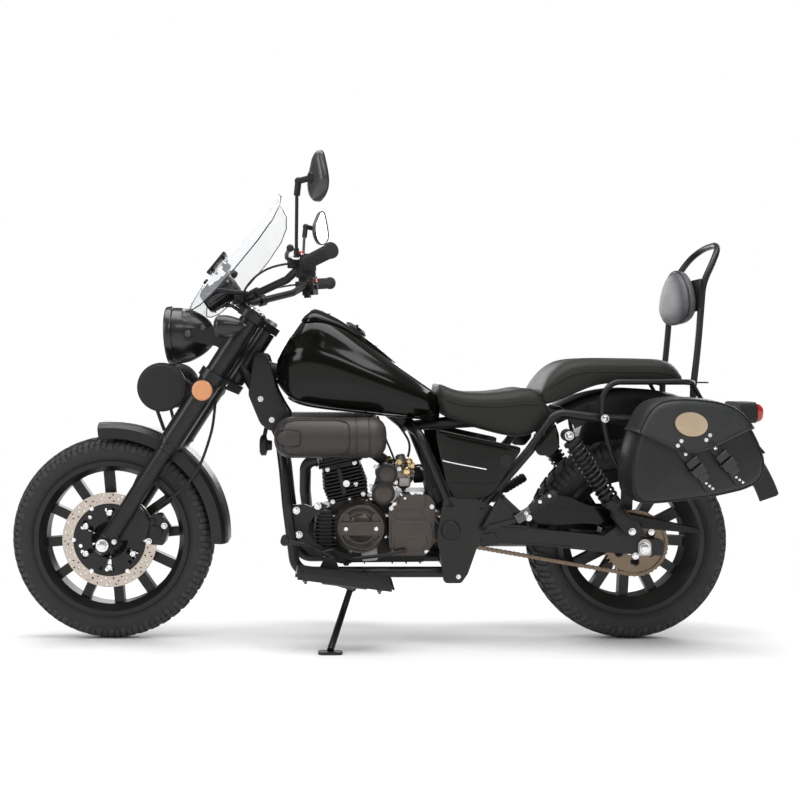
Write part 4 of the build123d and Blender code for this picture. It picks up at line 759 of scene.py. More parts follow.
def tank_ring(x):
    """The tank's section at x."""
    wide, top, shoulder, shoulder_half, foot, bottom = spline(TANK_KNOTS, x)
    crown, flank, swell = top - shoulder, shoulder - bottom, wide - shoulder_half
    waist = shoulder - flank * 0.36
    crease = shoulder + 0.20 * crown
    half = [(0, top), (0.42 * shoulder_half, top - 0.05 * crown),
            (0.78 * shoulder_half, shoulder + 0.66 * crown), (shoulder_half, crease + 0.16 * crown),
            (shoulder_half + 0.32 * swell, shoulder), (shoulder_half + 0.86 * swell, shoulder - 0.14 * flank),
            (wide, waist), (wide - 0.04 * (wide - foot), waist - 0.30 * (waist - bottom)),
            (foot + 0.52 * (wide - foot), bottom + 0.14 * (waist - bottom)), (foot, bottom + 2),
            (foot * 0.6, bottom), (0, bottom)]
    return [Vector((x, y, z)) for y, z in half] + [Vector((x, -y, z)) for y, z in half[-2:0:-1]]


def tank_top(x, y):
    """Height of the tank's skin at a place near its ridge."""
    _, top, shoulder, shoulder_half, _, _ = spline(TANK_KNOTS, x)
    t = min(1.0, abs(y) / shoulder_half)
    return top - (top - shoulder) * (0.16 * t ** 2 + 0.50 * t ** 4)


tank = piece("tank_shell", loft([tank_ring(x) for x in TANK_STATIONS]), "chassis", "gloss_black",
             subdivide=2, angle=180)
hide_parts("fuel_tank")

dash = []
for i in range(DASH_STATIONS + 1):
    x = DASH_FRONT + i * DASH_LENGTH / DASH_STATIONS
    half = spline(DASH_KNOTS, x)[0]
    section = [(-half, -5), (-half, 2.0), (-half * 0.96, 4.2), (-half * 0.7, 5.0),
               (-half * 0.35, 5.4), (0, 5.6)]
    section += [(-y, lift) for y, lift in section[-2::-1]]
    dash.append([Vector((x, y, tank_top(x, y) + lift)) for y, lift in section])
piece("tank_dash_strip", loft(dash), "chassis", "gloss_black")

CAP_X = -44
cap_at = Vector((CAP_X, 0, tank_top(CAP_X, 0) + 5))
cap_up = Vector((0.62, 0, 1)).normalized()
CAP_OUTLINE = [(0, 38), (8, 38), (10, 36), (10, 33), (13, 32), (16, 28), (17.5, 18), (18, 0.01)]
piece("tank_filler_cap", [lathe(cap_at - cap_up * 6, cap_up, CAP_OUTLINE, 48),
                          brick(cap_at + cap_up * 12.5, (8, 40, 5), cap_up.cross(RIGHT), cap_up)],
      "chassis", "gloss_black", bevel=1)
screws = []
for x, y in ((-160, 0), (-120, -22), (-120, 22), (16, -16), (16, 16), (40, 0)):
    normal = Vector((0.35 if x > -80 else 0.15, 0, 1)).normalized()
    screws.append(cap_screw((x, y, tank_top(x, y) + 2.5), normal, 4.5, 5.5))
piece("tank_screws", screws, "chassis", "gloss_black", SILVER)

seam = []
for x in range(-236, 190, 12):
    foot, bottom = spline(TANK_KNOTS, x)[4:]
    seam.append(Vector((x, -(foot + 7), bottom + 1)))
piece("tank_seam_lip", pair(tube(seam, 0, 2.6, 8)), "chassis", "gloss_black")

# -------- seats
RIDER_KNOTS = [
    # x, half width, top, edge height, lower height
    (190, 84, 742, 716, 690),
    (203, 104, 743, 712, 660),
    (222, 112, 733, 703, 645),
    (262, 118, 722, 694, 628),
    (330, 119, 720, 690, 608),
    (390, 119, 726, 692, 594),
    (425, 118, 733, 697, 594),
    (446, 117, 732, 696, 598),
    (468, 116, 727, 692, 614),
    (487, 114, 706, 678, 634),
    (505, 109, 668, 660, 648),
]
RIDER_STATIONS = [190, 194, 203, 215, 235, 262, 295, 330, 362, 392, 412, 430, 446, 460, 474, 487, 498, 505]
RIDER_DISH = 4
PILLION_KNOTS = [
    # x, half width, top, edge height, lower height
    (480, 100, 727, 720, 682),
    (490, 106, 748, 733, 684),
    (506, 110, 771, 746, 687),
    (531, 112, 796, 764, 696),
    (560, 112, 811, 778, 708),
    (595, 112, 818, 786, 724),
    (640, 112, 819, 787, 741),
    (720, 112, 818, 786, 746),
    (800, 112, 816, 784, 746),
    (840, 110, 812, 778, 746),
    (865, 102, 796, 768, 748),
    (882, 90, 768, 760, 750),
]
PILLION_STATIONS = [480, 484, 490, 498, 510, 528, 548, 572, 600, 640, 690, 745, 795, 828, 852, 868, 878, 882]


def both_halves(x, half_section):
    """A closed section from its right half, which starts and ends the ring at the top."""
    return [Vector((x, y, z)) for y,
            z in half_section] + [Vector((x, -y, z)) for y, z in half_section[-1:0:-1]]


def rider_ring(x):
    """The rider seat's section at x, dished in the middle."""
    half, top, edge, low = spline(RIDER_KNOTS, x)
    crown, puff = top - edge, (edge - low) * 0.06
    return both_halves(x, [(0, top - RIDER_DISH), (0.35 * half, top - RIDER_DISH * 0.6), (0.66 * half, top),
                           (0.86 * half, top - 0.22 * crown), (0.97 * half, edge + 0.28 * crown),
                           (half, edge - 4), (half - 1.5, edge - 9), (half + 0.5, edge - 15),
                           (half + puff * 0.4, (edge + low) / 2), (half - 3, low + 6), (half - 9, low)])


def pillion_ring(x):
    """The pillion seat's section at x."""
    half, top, edge, low = spline(PILLION_KNOTS, x)
    crown = top - edge
    return both_halves(x, [(0, top - 2), (0.38 * half, top - 1), (0.70 * half, top - 0.04 * crown),
                           (0.88 * half, top - 0.30 * crown), (0.98 * half, edge + 0.2 * crown),
                           (half, edge - 5), (half - 1.5, edge - 9), (half, edge - 14),
                           (half - 1, (edge + low) / 2 - 2), (half - 6, low + 3), (half - 12, low)])


rider = piece("rider_seat_cushion", loft([rider_ring(x) for x in RIDER_STATIONS]), "chassis", "leather",
              subdivide=2, angle=180)
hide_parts("rider_seat")
pillion = piece("pillion_seat_cushion", loft([pillion_ring(x) for x in PILLION_STATIONS]), "chassis",
                "leather", subdivide=2, angle=180)
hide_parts("pillion_seat")

piping = []
for knots, first, last in ((RIDER_KNOTS, 204, 478), (PILLION_KNOTS, 500, 868)):
    route = []
    for x in range(first, last + 1, 11):
        half, _, edge, _ = spline(knots, x)
        route.append(Vector((x, -(half + 0.4), edge - 8)))
    piping.append(tube(route, 0, 1.9, 8))
piece("seat_piping", pair(*piping), "chassis", "leather")
STITCH_PITCH, STITCH_LENGTH = 8.5, 4.5
stitches = []
for knots, up, first, last in ((RIDER_KNOTS, 0.30, 212, 470), (PILLION_KNOTS, 0.22, 508, 862)):
    for i in range(int((last - first) / STITCH_PITCH) + 1):
        x = first + i * STITCH_PITCH
        half, top, edge, _ = spline(knots, x)
        y, z = -(0.975 * half), edge + up * (top - edge)
        stitches.append(tube([(x, y, z), (x + STITCH_LENGTH, y, z + 0.3)], 0, 0.8, 6))
piece("seat_stitches", pair(*stitches), "chassis", "leather")

# -------- backrest cushion
PAD_BACK = 921.0
PAD_HEIGHT = 994.0


def pad_ring(count, depth, grow):
    """The pad's outline, wide below and narrow above, at a depth ahead of its back."""
    ring = []
    for k in range(count):
        turn = 2 * math.pi * k / count
        rise, reach = math.sin(turn), math.cos(turn)
        across, up = blunted(reach, 0.86) * (94 - 27 * rise + grow), blunted(rise, 0.92) * (78 + grow)
        ring.append(Vector((PAD_BACK - depth, across, PAD_HEIGHT + up)))
    return ring


PAD_LAYERS = [(0, -14), (2, -4), (8, 0), (20, 0), (27, -2.5), (34, -9), (39, -22), (42, -42), (43, -62)]
# The pad takes the lighter leather, with its painted sheen.
pad = piece("backrest_cushion", loft([pad_ring(40, depth, grow) for depth, grow in PAD_LAYERS]), "chassis",
            "leather", PAD_LEATHER_PAINTED_SHEEN, subdivide=2, angle=180)
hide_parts("backrest_pad")
piece("backrest_piping", tube(pad_ring(64, 24, 0.6), 0, 1.8, 8, closed=True), "chassis", "leather")

# -------- saddlebags
BAG_OUTLINE = [(660, 500), (662, 552), (676, 605), (694, 650), (712, 683), (739, 704), (785, 712), (844, 710),
               (900, 703), (948, 684), (980, 650), (1008, 598), (1024, 552), (1022, 512), (1006, 483),
               (966, 463), (884, 444), (785, 431), (712, 425), (684, 431), (666, 455)]
BAG_POINTS = 72
BAG_LAYERS = [(0.0, 8), (0.03, 2), (0.12, 0), (0.35, -1.5), (0.6, -1.5), (0.80, 0.5), (0.90, 5), (0.955, 11),
              (0.985, 19), (1.0, 32)]
BAG_MOUTH = 676.0
BACK_SEAM_LAYER, FACE_SEAM_LAYER = 2, 6
LID_KNOTS = [(600, 648), (664, 632), (712, 606), (760, 583), (800, 570), (822, 569), (860, 579), (915, 604),
             (985, 634), (1060, 648)]
FAR_LEFT = -700


def lid_edge(x):
    """Height of the lid's lower edge."""
    return spline(LID_KNOTS, x)[0]


def shrunk(outline, amount):
    """A rounded closed outline moved inwards."""
    ring = [Vector(p) for p in outline]
    n = len(ring)
    out = []
    area = sum(ring[i].x * ring[(i + 1) % n].y - ring[(i + 1) % n].x * ring[i].y for i in range(n))
    turn = 1 if area > 0 else -1
    for i in range(n):
        along = (ring[(i + 1) % n] - ring[i - 1]).normalized()
        out.append(ring[i] + Vector((-along.y, along.x)) * amount * turn)
    return out


BAG_RING = evened(rounded(BAG_OUTLINE, 30, 5), BAG_POINTS)


def bag_rows(grow, inner, outer, puff):
    """Rings of a closed soft box: side outline through its depth, with a rounded outer face."""
    rows = []
    for along, inset in BAG_LAYERS:
        rows.append([Vector((p.x, -(inner + (outer - inner) * along), p.y))
                     for p in shrunk(BAG_RING, inset - grow)])
    face = rows[-1]
    x, z = sum(p.x for p in BAG_RING) / BAG_POINTS, sum(p.y for p in BAG_RING) / BAG_POINTS
    middle = Vector((x, 0, z))
    for pull, rise in ((0.72, 0.55), (0.42, 0.88), (0.14, 1.0)):
        rows.append([Vector((middle.x + (p.x - middle.x) * pull, -(outer + puff * rise),
                             middle.z + (p.z - middle.z) * pull)) for p in face])
    return rows


def skin_of(form):
    """A form made ready for finding places on it."""
    return BVHTree.FromPolygons([Vector(p) for p in form[0]], form[1])


def on_skin(skin, x, z, lift=0.0):
    """The place on a skin seen from the left, and its way out."""
    hit = skin.ray_cast(Vector((x, FAR_LEFT, z)), RIGHT)
    if hit[0] is None:
        hit = skin.find_nearest(Vector((x, -200, z)))
    return hit[0] + LEFT * lift, hit[1]


def clipped(form, limit, above):
    """A form kept above or below a height that depends on x."""
    points, faces = form
    beyond = [(p.z < limit(p.x)) if above else (p.z > limit(p.x)) for p in points]
    kept = [face for face in faces if not all(beyond[i] for i in face)]
    return [Vector((p.x, p.y, limit(p.x))) if out else p for p, out in zip(points, beyond)], kept


def thickened(obj, wall):
    """Gives an open skin a wall, in millimetres, and rounds it."""
    shell = obj.modifiers.new("wall", "SOLIDIFY")
    shell.thickness = wall / 1000
    shell.offset = -1
    fine = obj.modifiers.new("round", "SUBSURF")
    fine.levels = fine.render_levels = 1


def from_gap(ring):
    """A broken ring as an open row of points, which starts after the widest gap."""
    start = max(range(len(ring)), key=lambda i: (ring[i] - ring[i - 1]).length)
    return ring[start:] + ring[:start]


def unchanged(form):
    """The left side's form, in place of mirrored."""
    return form


bag_layers = bag_rows(grow=-6, inner=172, outer=284, puff=7)
bag_form = loft(bag_layers)
bag_skin = skin_of(bag_form)
bag_open = clipped(bag_form, lambda x: BAG_MOUTH, False)
bags = piece("saddlebag_bodies", pair(bag_open), "chassis", "bag_leather", angle=180)
thickened(bags, 4)
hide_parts("saddlebags")
lid_layers = bag_rows(grow=0, inner=175, outer=290, puff=8)
lid_form = loft(lid_layers)
lid_skin = skin_of(lid_form)
lid_open = clipped((lid_form[0], lid_form[1][:-2] + lid_form[1][-1:]), lid_edge, True)

LID_FRONT, LID_REAR, LID_EDGE_STEPS = 668, 1018, 48
edge_route = []
for i in range(LID_EDGE_STEPS + 1):
    x = LID_FRONT + i * (LID_REAR - LID_FRONT) / LID_EDGE_STEPS
    spot = lid_skin.ray_cast(Vector((x, FAR_LEFT, lid_edge(x) + 1)), RIGHT)[0]
    if spot is not None:
        edge_route.append(Vector((x, spot.y - 0.4, lid_edge(x) + 1)))
ridge = from_gap([p + LEFT * 0.8 for p in lid_layers[FACE_SEAM_LAYER] if p.z > lid_edge(p.x) + 2])
lid_piping = joined(tube(edge_route, 0, 2.6, 8), tube(ridge, 0, 2.4, 8))

LID_STITCHES, STITCH_RISE = 60, 9
STITCH_FRONT, STITCH_REAR = 680, 1000
stitches = []
for i in range(LID_STITCHES):
    x = STITCH_FRONT + i * (STITCH_REAR - STITCH_FRONT) / (LID_STITCHES - 1)
    ends = [on_skin(lid_skin, at, lid_edge(at) + STITCH_RISE)[0] for at in (x, x + 3)]
    stitches.append(tube(ends, 0, 0.9, 6))

MEDAL_OUTLINE = [(0, 42), (4, 42), (6, 40), (6.5, 36), (5.2, 34), (5.2, 30), (7.5, 16), (8.2, 0.01)]
centre, out = on_skin(lid_skin, 815, 643)
squeeze = (Matrix.Translation(centre) @ Matrix.Rotation(math.radians(6), 4, "Y")
           @ Matrix.Diagonal((1, 1, 0.74, 1)) @ Matrix.Translation(-centre))
medallion = moved(lathe(centre - out * 2, out, MEDAL_OUTLINE, 64), squeeze)

rivets = []
for x, z in ((788, 600), (779, 588), (862, 615), (852, 603)):
    spot, out = on_skin(lid_skin, x, z)
    rivets.append(dome_screw(spot - out * 0.5, out, 5.2, 3.6))

for name, flip in (("bag_lid_left", unchanged), ("bag_lid_right", mirrored)):
    # The lids take the lighter leather, painted light from above.
    lid = piece(name + "_leather", flip(lid_open), name, "bag_leather", LID_LEATHER_PAINTED_LIGHT, angle=180)
    thickened(lid, 4)
    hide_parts(name)
    piece(name + "_piping", flip(lid_piping), name, "bag_leather")
    piece(name + "_stitches", flip(joined(*stitches)), name, "bag_leather")
    piece(name + "_medallion", flip(medallion), name, "bag_leather", MEDAL, angle=30)
    piece(name + "_rivets", flip(joined(*rivets)), name, "bag_leather", SILVER)

seam = from_gap([p + LEFT * 0.6 for p in bag_layers[FACE_SEAM_LAYER] if p.z < lid_edge(p.x) + 8])
back_seam = from_gap([p for p in bag_layers[BACK_SEAM_LAYER] if p.z < 660])
piece("saddlebag_piping", pair(tube(seam, 0, 2.6, 8), tube(back_seam, 0, 2.2, 8)), "chassis", "bag_leather")


def strap_on_bag(first, last, width):
    """A strap lying on the bag between two (x, z) places, with its buckle and rivets."""
    a, b = Vector(first), Vector(last)
    along = (b - a).normalized()
    across = Vector((-along.y, along.x))
    buckle, studs, rows = [], [], []
    count = 12
    for i in range(count + 1):
        half = width / 2 * (0.72 if i == count else 1.0)
        ring = []
        for edge in (-1, -0.5, 0, 0.5, 1):
            p = a.lerp(b, i / count) + across * half * edge
            ring.append(on_skin(bag_skin, p.x, p.y, 7.0 if abs(edge) < 1 else 5.0)[0])
        rows.append(ring + [p + RIGHT * 5 for p in reversed(ring)])

    def at(t, side=0.0, lift=0.0):
        """A place on the strap by its share of the length."""
        p = a.lerp(b, t) + across * side
        return on_skin(bag_skin, p.x, p.y, 5.2 + lift)[0]

    ahead = (at(0.66) - at(0.30)).normalized()
    for start, end, wide, high in ((0.28, 0.41, width + 4, 12), (0.445, 0.60, width + 7, 15),
                                   (0.60, 0.73, width - 2, 11)):
        middle = (at(start) + at(end)) / 2 + LEFT * high * 0.25
        buckle.append(brick(middle, ((at(end) - at(start)).length, wide, high), ahead, LEFT))
    for edge in BOTH:
        buckle.append(brick(at(0.52, edge * (width / 2 + 2)), (24, 5, 8), ahead, LEFT))
    for t, side in ((0.16, 0), (0.80, -3), (0.88, 0), (0.955, 3)):
        studs.append(dome_screw(at(t, side, 0.6), LEFT, 4.8 if t < 0.3 else 4.4, 3.6))
    return [loft(rows)], buckle, studs


straps, buckles, studs = [], [], []
for first, last in (((786, 584), (874, 470)), ((862, 600), (952, 486))):
    for store, made in zip((straps, buckles, studs), strap_on_bag(first, last, 30)):
        store += made
piece("saddlebag_straps", pair(*straps), "chassis", "bag_leather", bevel=0.6)
piece("saddlebag_buckles", pair(*buckles), "chassis", "bag_leather", CLASP_BLACK, bevel=1.6)
piece("saddlebag_studs", pair(*studs), "chassis", "bag_leather", SILVER)


# -------- engine
CYLINDER_LEAN = math.radians(13.0)
CYLINDER_FOOT = Vector((-62, 0, 404))
UP_BORE = Vector((-math.sin(CYLINDER_LEAN), 0, math.cos(CYLINDER_LEAN)))
ACROSS_BORE = Vector((math.cos(CYLINDER_LEAN), 0, math.sin(CYLINDER_LEAN)))


def on_bore(up, across=0.0, y=0.0):
    """A place by its distance up the cylinder from its foot, behind the bore and to the right."""
    return CYLINDER_FOOT + UP_BORE * up + ACROSS_BORE * across + Vector((0, y, 0))


def slab_on_bore(low, high, across, wide, corner=12):
    """A rounded slab round the bore between two heights."""
    ring = []
    for turn, (sx, sy) in enumerate(((1, 1), (-1, 1), (-1, -1), (1, -1))):
        for step in range(5):
            angle = math.radians(90 * turn + 22.5 * step)
            ring.append((sx * (across - corner) + corner * math.cos(angle), sy * (wide - corner)
                         + corner * math.sin(angle)))
    return loft([[on_bore(high, a, b) for a, b in ring], [on_bore(low, a, b) for a, b in ring]])


fins = []
for i in range(9):
    across = (126 - 3 * abs(i - 4)) / 2 + 2
    wide = (132 - 2 * abs(i - 4)) / 2 + 1
    fins.append(slab_on_bore(11.4 + i * 10, 15.6 + i * 10, across, wide, 9))
fins.append(slab_on_bore(2, 100, 37, 41, 10))
for y in (-58, 58):
    fins.append(brick(on_bore(62, -8, y), (12, 18, 78), ACROSS_BORE, UP_BORE))
fins.append(slab_on_bore(0, 8, 55, 60, 8))
fins.append(slab_on_bore(100, 108, 54, 55, 8))
for i in range(3):
    fins.append(slab_on_bore(110 + i * 9, 114 + i * 9, 64 - i * 2, 64 - i * 2, 9))
fins.append(slab_on_bore(104, 140, 50, 52, 10))
fins.append(slab_on_bore(138, 156, 44, 46, 12))
cylinder = piece("cylinder_fins", fins, "chassis", "engine_black", bevel=0.7, smooth=False)
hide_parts("cylinder")
bolts = [cap_screw(on_bore(55, 4, -67), LEFT, 10.5, 5)]
for across, up in ((-46, 12), (44, 14), (30, 46), (-40, 104), (40, 106), (34, 152), (-34, 152)):
    bolts.append(hex_bolt(on_bore(up, across, -64 if up < 100 else -56), LEFT, 8, 5))
piece("cylinder_bolts", bolts, "chassis", "engine_black", SILVER)
piece("cylinder_plug_boss", lathe(on_bore(55, 4, -52), LEFT, [(0, 14), (14, 14), (16, 12), (16, 0.01)], 28),
      "chassis", "engine_black")
plug_cap = tube([on_bore(146, -10, -48), on_bore(160, -14, -84), on_bore(172, -10, -92)], 14, 8, 14)
plug_lead = tube([on_bore(172, -10, -92), (-60, -90, 600), (-10, -50, 640), (30, -20, 668)], 40, 3.5, 10)
piece("spark_plug_cap", [plug_cap, plug_lead], "chassis", "engine_black", GRIP_RUBBER)

# Rotor cover: a stepped disc with curved beads above and below, and a flat bar across it.
rotor = Vector((-31, 0, 341))
COVER_SCREW_ANGLES = (20, 68, 112, 160, 205, 250, 292, 335)
bronze_cover = [lathe(rotor + LEFT * 60.3, LEFT,
                      [(0, 74), (30, 74), (31.5, 73), (33, 73), (34, 74.5), (40, 74.5), (43, 72), (52, 68),
                       (60, 66), (62, 64), (62.5, 56), (58, 54), (58, 40), (62, 36), (66, 30),
                       (68, 0.01)], 80)]
bronze_cover.append(plate(rounded([(-89, 322), (-89, 360), (27, 360), (27, 322)], 6), -133, -110))
for k in range(3):
    spread = 58 - k * 5
    for up in BOTH:
        bead = []
        for angle in range(38, 143, 7):
            x = rotor.x + spread * math.cos(math.radians(angle))
            z = rotor.z + spread * math.sin(math.radians(angle))
            bead.append(Vector((x, -119.5 + k * 0.6, z if up > 0 else 2 * rotor.z - z)))
        bronze_cover.append(tube(bead, 0, 2.6, 8))
for x in (-71, 9):
    bronze_cover.append(plate([(x - 12, 356), (x + 12, 356), (x + 6, 384), (x - 6, 384)], -126, -110))
bronze_cover.append(plate(rounded([(52, 263), (47, 300), (47, 392), (72, 406), (84, 433), (160, 433),
                                   (178, 410), (176, 300), (150, 263)], 8), -116, -60.3))
bronze_cover.append(plate(rounded([(-140, 262), (-120, 368), (-20, 388), (60, 392), (150, 350), (156, 270),
                                   (100, 244), (-90, 244)], 18), 60.3, 104))
bronze_cover.append(lathe((20, 0, 322), RIGHT, [(100, 62), (112, 60), (118, 52), (120, 0.01)], 64))
bronze_cover.append(lathe((100, 0, 340), RIGHT, [(100, 30), (108, 29), (110, 24), (110, 0.01)], 40))
covers = piece("engine_side_covers", bronze_cover, "chassis", "engine_bronze", bevel=1.0, angle=35)
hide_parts("engine_covers")
screws = [cap_screw((x, -133, 341), LEFT, 6, 3.5) for x in (-73, 11)]
screws += [hex_bolt(around(rotor, 80, angle, -74), LEFT, 7.5, 5, False) for angle in COVER_SCREW_ANGLES]
piece("rotor_cover_screws", screws, "chassis", "engine_bronze", SILVER)
lugs = []
for angle in COVER_SCREW_ANGLES:
    at = around(rotor, 79, angle, -60)
    lugs.append(rod(at, at + LEFT * 14, 8, 16))
piece("rotor_cover_lugs", lugs, "chassis", "engine_bronze")

# Sprocket cover: raised panels, one above another.
panels = [plate(rounded([(58, 392), (74, 407), (84, 432), (150, 430), (152, 408), (140, 392)], 6), -119.5,
                -112), plate(rounded([(64, 366), (78, 400), (132, 402), (150, 366)], 6), -118, -112),
          plate(rounded([(54, 300), (52, 360), (164, 360), (172, 320), (168, 296), (146, 268), (60, 268)], 9),
                -118.5, -112),
          plate(rounded([(62, 282), (62, 312), (150, 322), (156, 300), (142, 278)], 6), -121, -117)]
piece("sprocket_cover_panels", panels, "chassis", "engine_bronze", bevel=1.4, angle=35)
screws = bolt_row([(60, 274), (150, 276), (168, 400), (92, 424), (54, 396)], -117, 8, 5)
piece("sprocket_cover_screws", screws, "chassis", "engine_bronze", SILVER)

# Front of the case: a stack of fins and the mounting plate's bolts.
stack = []
for i in range(10):
    x, z = -164 + abs(i - 4.5) * 1.5, 276 + i * 10.5
    stack.append(plate(rounded([(x, z), (x, z + 4.2), (-101, z + 4.2), (-101, z)], 1.5, 2), -90.5, 60))
stack.append(plate([(-148, 268), (-148, 384), (-112, 384), (-112, 268)], -84, 58))
piece("case_front_fins", stack, "chassis", "engine_black", bevel=0.5, smooth=False)
bolts = bolt_row([(-212, 386), (-152, 399), (-205, 318), (-128, 262)], -98, 13, 8)
piece("engine_plate_bolts", bolts, "chassis", "frame_black", SILVER)
flange = plate(rounded([(-96, 388), (-84, 402), (22, 402), (40, 392), (44, 300), (30, 252), (-86, 252),
                        (-98, 300)], 10), -64, -59)
piece("crankcase_flange", flange, "chassis", "engine_black", bevel=1)
boss = plate(rounded([(-26, 240), (-30, 284), (16, 284), (18, 244)], 6), -92, -60)
piece("crankcase_bare_boss", boss, "chassis", "engine_black", BARE_ALLOY, bevel=1.5)
ribs = [plate([(x, 226), (x, 250), (x + 4, 250), (x + 4, 226)], -56, 56) for x in (-60, -20, 60, 100, 140)]
ribs.append(lathe((-70, 0, 222), RIGHT, [(-22, 0.01), (-22, 12), (22, 12), (22, 0.01)], 6))
piece("sump_ribs", ribs, "chassis", "engine_black", bevel=0.6, smooth=False)

# Starter motor and its gear cover.
starter = [lathe((34, -40, 433.3), LEFT, [(0, 30), (44, 30), (46, 33), (50, 33), (52, 30), (56, 29), (58, 24),
                                          (59, 14), (60.5, 0.01)], 48),
           lathe((44, -22, 486), LEFT, [(0, 28), (50, 28), (52, 31), (58, 31), (60, 27), (66, 26), (68, 18),
                                        (69, 0.01)], 48),
           turned_ring((34, -94, 433.3), LEFT, [(0, 20), (3, 21), (3, 24), (0, 25)], 48),
           turned_ring((44, -84, 486), LEFT, [(0, 17), (8, 18), (8, 21), (0, 22)], 48),
           plate(rounded([(4, 440), (18, 486), (64, 500), (78, 478), (66, 432), (40, 420)], 10), -70, -56)]
piece("starter_covers", starter, "chassis", "engine_bronze", angle=35)
bolts = bolt_row([(0, 452), (2, 440), (64, 444), (12, 506), (80, 500), (70, 462)], -70, 8, 6)
piece("starter_bolts", bolts, "chassis", "engine_bronze", SILVER)

# Carburettor: a body with brass parts and a bare float bowl.
CARBURETTOR_OUTLINE = [(-30, 16), (-28, 18), (22, 18), (24, 21), (30, 21), (32, 16), (46, 14),
                       (50, 8), (50, 0.01)]
carburettor = [rod((60, 10, 500), (130, 10, 471), 24, 32),
               lathe((98, -10, 488), UP_BORE, CARBURETTOR_OUTLINE, 28), brick((96, -26, 486), (40, 22, 34)),
               rod((104, -54, 492), (104, -10, 492), 13, 24), rod((76, -50, 506), (76, -8, 506), 7, 16)]
piece("carburettor_body", carburettor, "chassis", "engine_black", CARB_ALLOY, bevel=1, angle=35)
brass = [lathe((104, -54, 492), LEFT, [(0, 12), (4, 12), (6, 9), (6, 0.01)], 24),
         hex_bolt((82, -40, 516), LEFT, 10, 8), hex_bolt((120, -40, 508), LEFT, 12, 10),
         lathe((112, -36, 520), LEFT, [(0, 9), (10, 9), (12, 6), (12, 0.01)], 20),
         tube([(84, -44, 500), (92, -50, 484), (108, -48, 476)], 10, 3, 10),
         hex_bolt((70, -44, 486), LEFT, 8, 6),
         lathe((58, -30, 520), Vector((-0.5, -0.6, 0.6)), [(0, 8), (12, 8), (14, 5), (14, 0.01)], 18)]
piece("carburettor_brass", brass, "chassis", "engine_black", BRASS)
bowl = [lathe((98, -14, 474), DOWN, [(0, 24), (6, 25), (8, 22), (30, 20), (34, 16), (38, 7), (44, 7),
                                     (44, 0.01)], 32),
        brick((98, -36, 458), (30, 8, 24))]
piece("carburettor_bowl", bowl, "chassis", "engine_black", BARE_ALLOY, bevel=1)
wiring = [tube([(138 + k * 6, -96 - k * 3, 560), (150 + k * 5, -104, 500), (158 + k * 4, -108, 440),
                (172, -112 - k, 396)], 24, 2.4, 8) for k in range(4)]
piece("side_wiring", wiring, "chassis", "engine_black", GRIP_RUBBER)
battery = [brick((176, -60, 470), (50, 90, 70), (0.9, 0, 0.2)),
           brick((184, -96, 430), (22, 30, 44), (0.9, 0, 0.2)), rod((128, 10, 472), (176, 10, 476), 24, 24)]
piece("battery_box", battery, "chassis", "engine_black", MATTE_BLACK, bevel=4)
pipe_flange = [lathe(on_bore(130, -57, 20), -ACROSS_BORE, [(0, 26), (7, 26), (7, 18)], 28)]
pipe_flange += [rod(on_bore(up, -52, 20), on_bore(up, -74, 20), 4) for up in (146, 114)]
piece("header_pipe_flange", pipe_flange, "chassis", "engine_black", BARE_ALLOY)

# -------- side pods
POD = Vector((-271, -145, 596))


POD_RADIUS = 56
POD_OUTLINE = [(0, 20), (10, 42), (34, POD_RADIUS), (276, POD_RADIUS), (299, 44), (309, 22)]
LONG_PANEL, FRONT_PANEL = (24, 206, -52, 58), (8, 74, -20, 26)


def pod_skin(along, turn):
    """A place on the pod by distance from its front and angle from level out to the left."""
    a, b = next((a, b) for a, b in zip(POD_OUTLINE, POD_OUTLINE[1:]) if a[0] <= along <= b[0])
    radius = a[1] + (b[1] - a[1]) * (along - a[0]) / (b[0] - a[0])
    angle = math.radians(turn)
    return POD + Vector((along, -math.cos(angle) * radius, math.sin(angle) * radius))


def off_pod(spot, lift):
    """A place on the pod's skin moved out from its axis."""
    return spot + (spot - Vector((spot.x, POD.y, POD.z))).normalized() * lift


def pod_patch(lift, first, last, low, high, rounding):
    """A raised panel with rounded ends, wrapped round the pod."""
    rows, cols = 26, 20
    reach = rounding * (math.radians(high - low) * POD_RADIUS)
    rings = []
    for i in range(cols + 1):
        x = first + (last - first) * (i / cols)
        near = min(x - first, last - x)
        bulge = 1.0 if near >= reach else math.sqrt(max(0, 1 - ((reach - near) / reach) ** 2))
        row = [pod_skin(x, (low + high) / 2 + (high - low) / 2 * bulge * (2 * k / rows - 1))
               for k in range(rows + 1)]
        rings.append([off_pod(spot, lift) for spot in row] + [off_pod(spot, -2) for spot in reversed(row)])
    return loft(rings)


pod = [lathe(POD, REARWARD, [(0, 0.01), (0, 16), (3, 26), (10, 40), (20, 49), (34, 55.5), (40, 56), (222, 56),
                             (223, 54.4), (227, 54.4), (228, 56.4), (244, 57), (258, 56.6), (259.5, 55),
                             (262, 55), (263, 56.4), (276, 56), (290, 51), (300, 43), (307, 30), (309, 18),
                             (309, 0.01)], 64)]
pod.append(pod_patch(1.6, *LONG_PANEL, rounding=0.42))
pod.append(tube([pod_skin(x, 74) for x in range(40, 222, 12)], 0, 1.4, 6))
pods = piece("side_pod_shells", pair(*pod, rod((-262, -110, 596), (-262, -59.5, 596), 8)), "chassis",
             "engine_bronze", POD_SATIN, angle=32)
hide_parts("side_pods")


def pod_seam(first, last, low, high, lift):
    """A closed line of even width round a panel with round ends."""
    route = []
    for k in range(72):
        turn = 2 * math.pi * k / 72
        along, rise = blunted(math.cos(turn), 0.35), blunted(math.sin(turn), 0.35)
        spot = pod_skin((first + last) / 2 + (last - first) / 2 * along,
                        (low + high) / 2 + (high - low) / 2 * rise)
        route.append(off_pod(spot, lift))
    return tube(route, 0, 1.1, 6, closed=True)


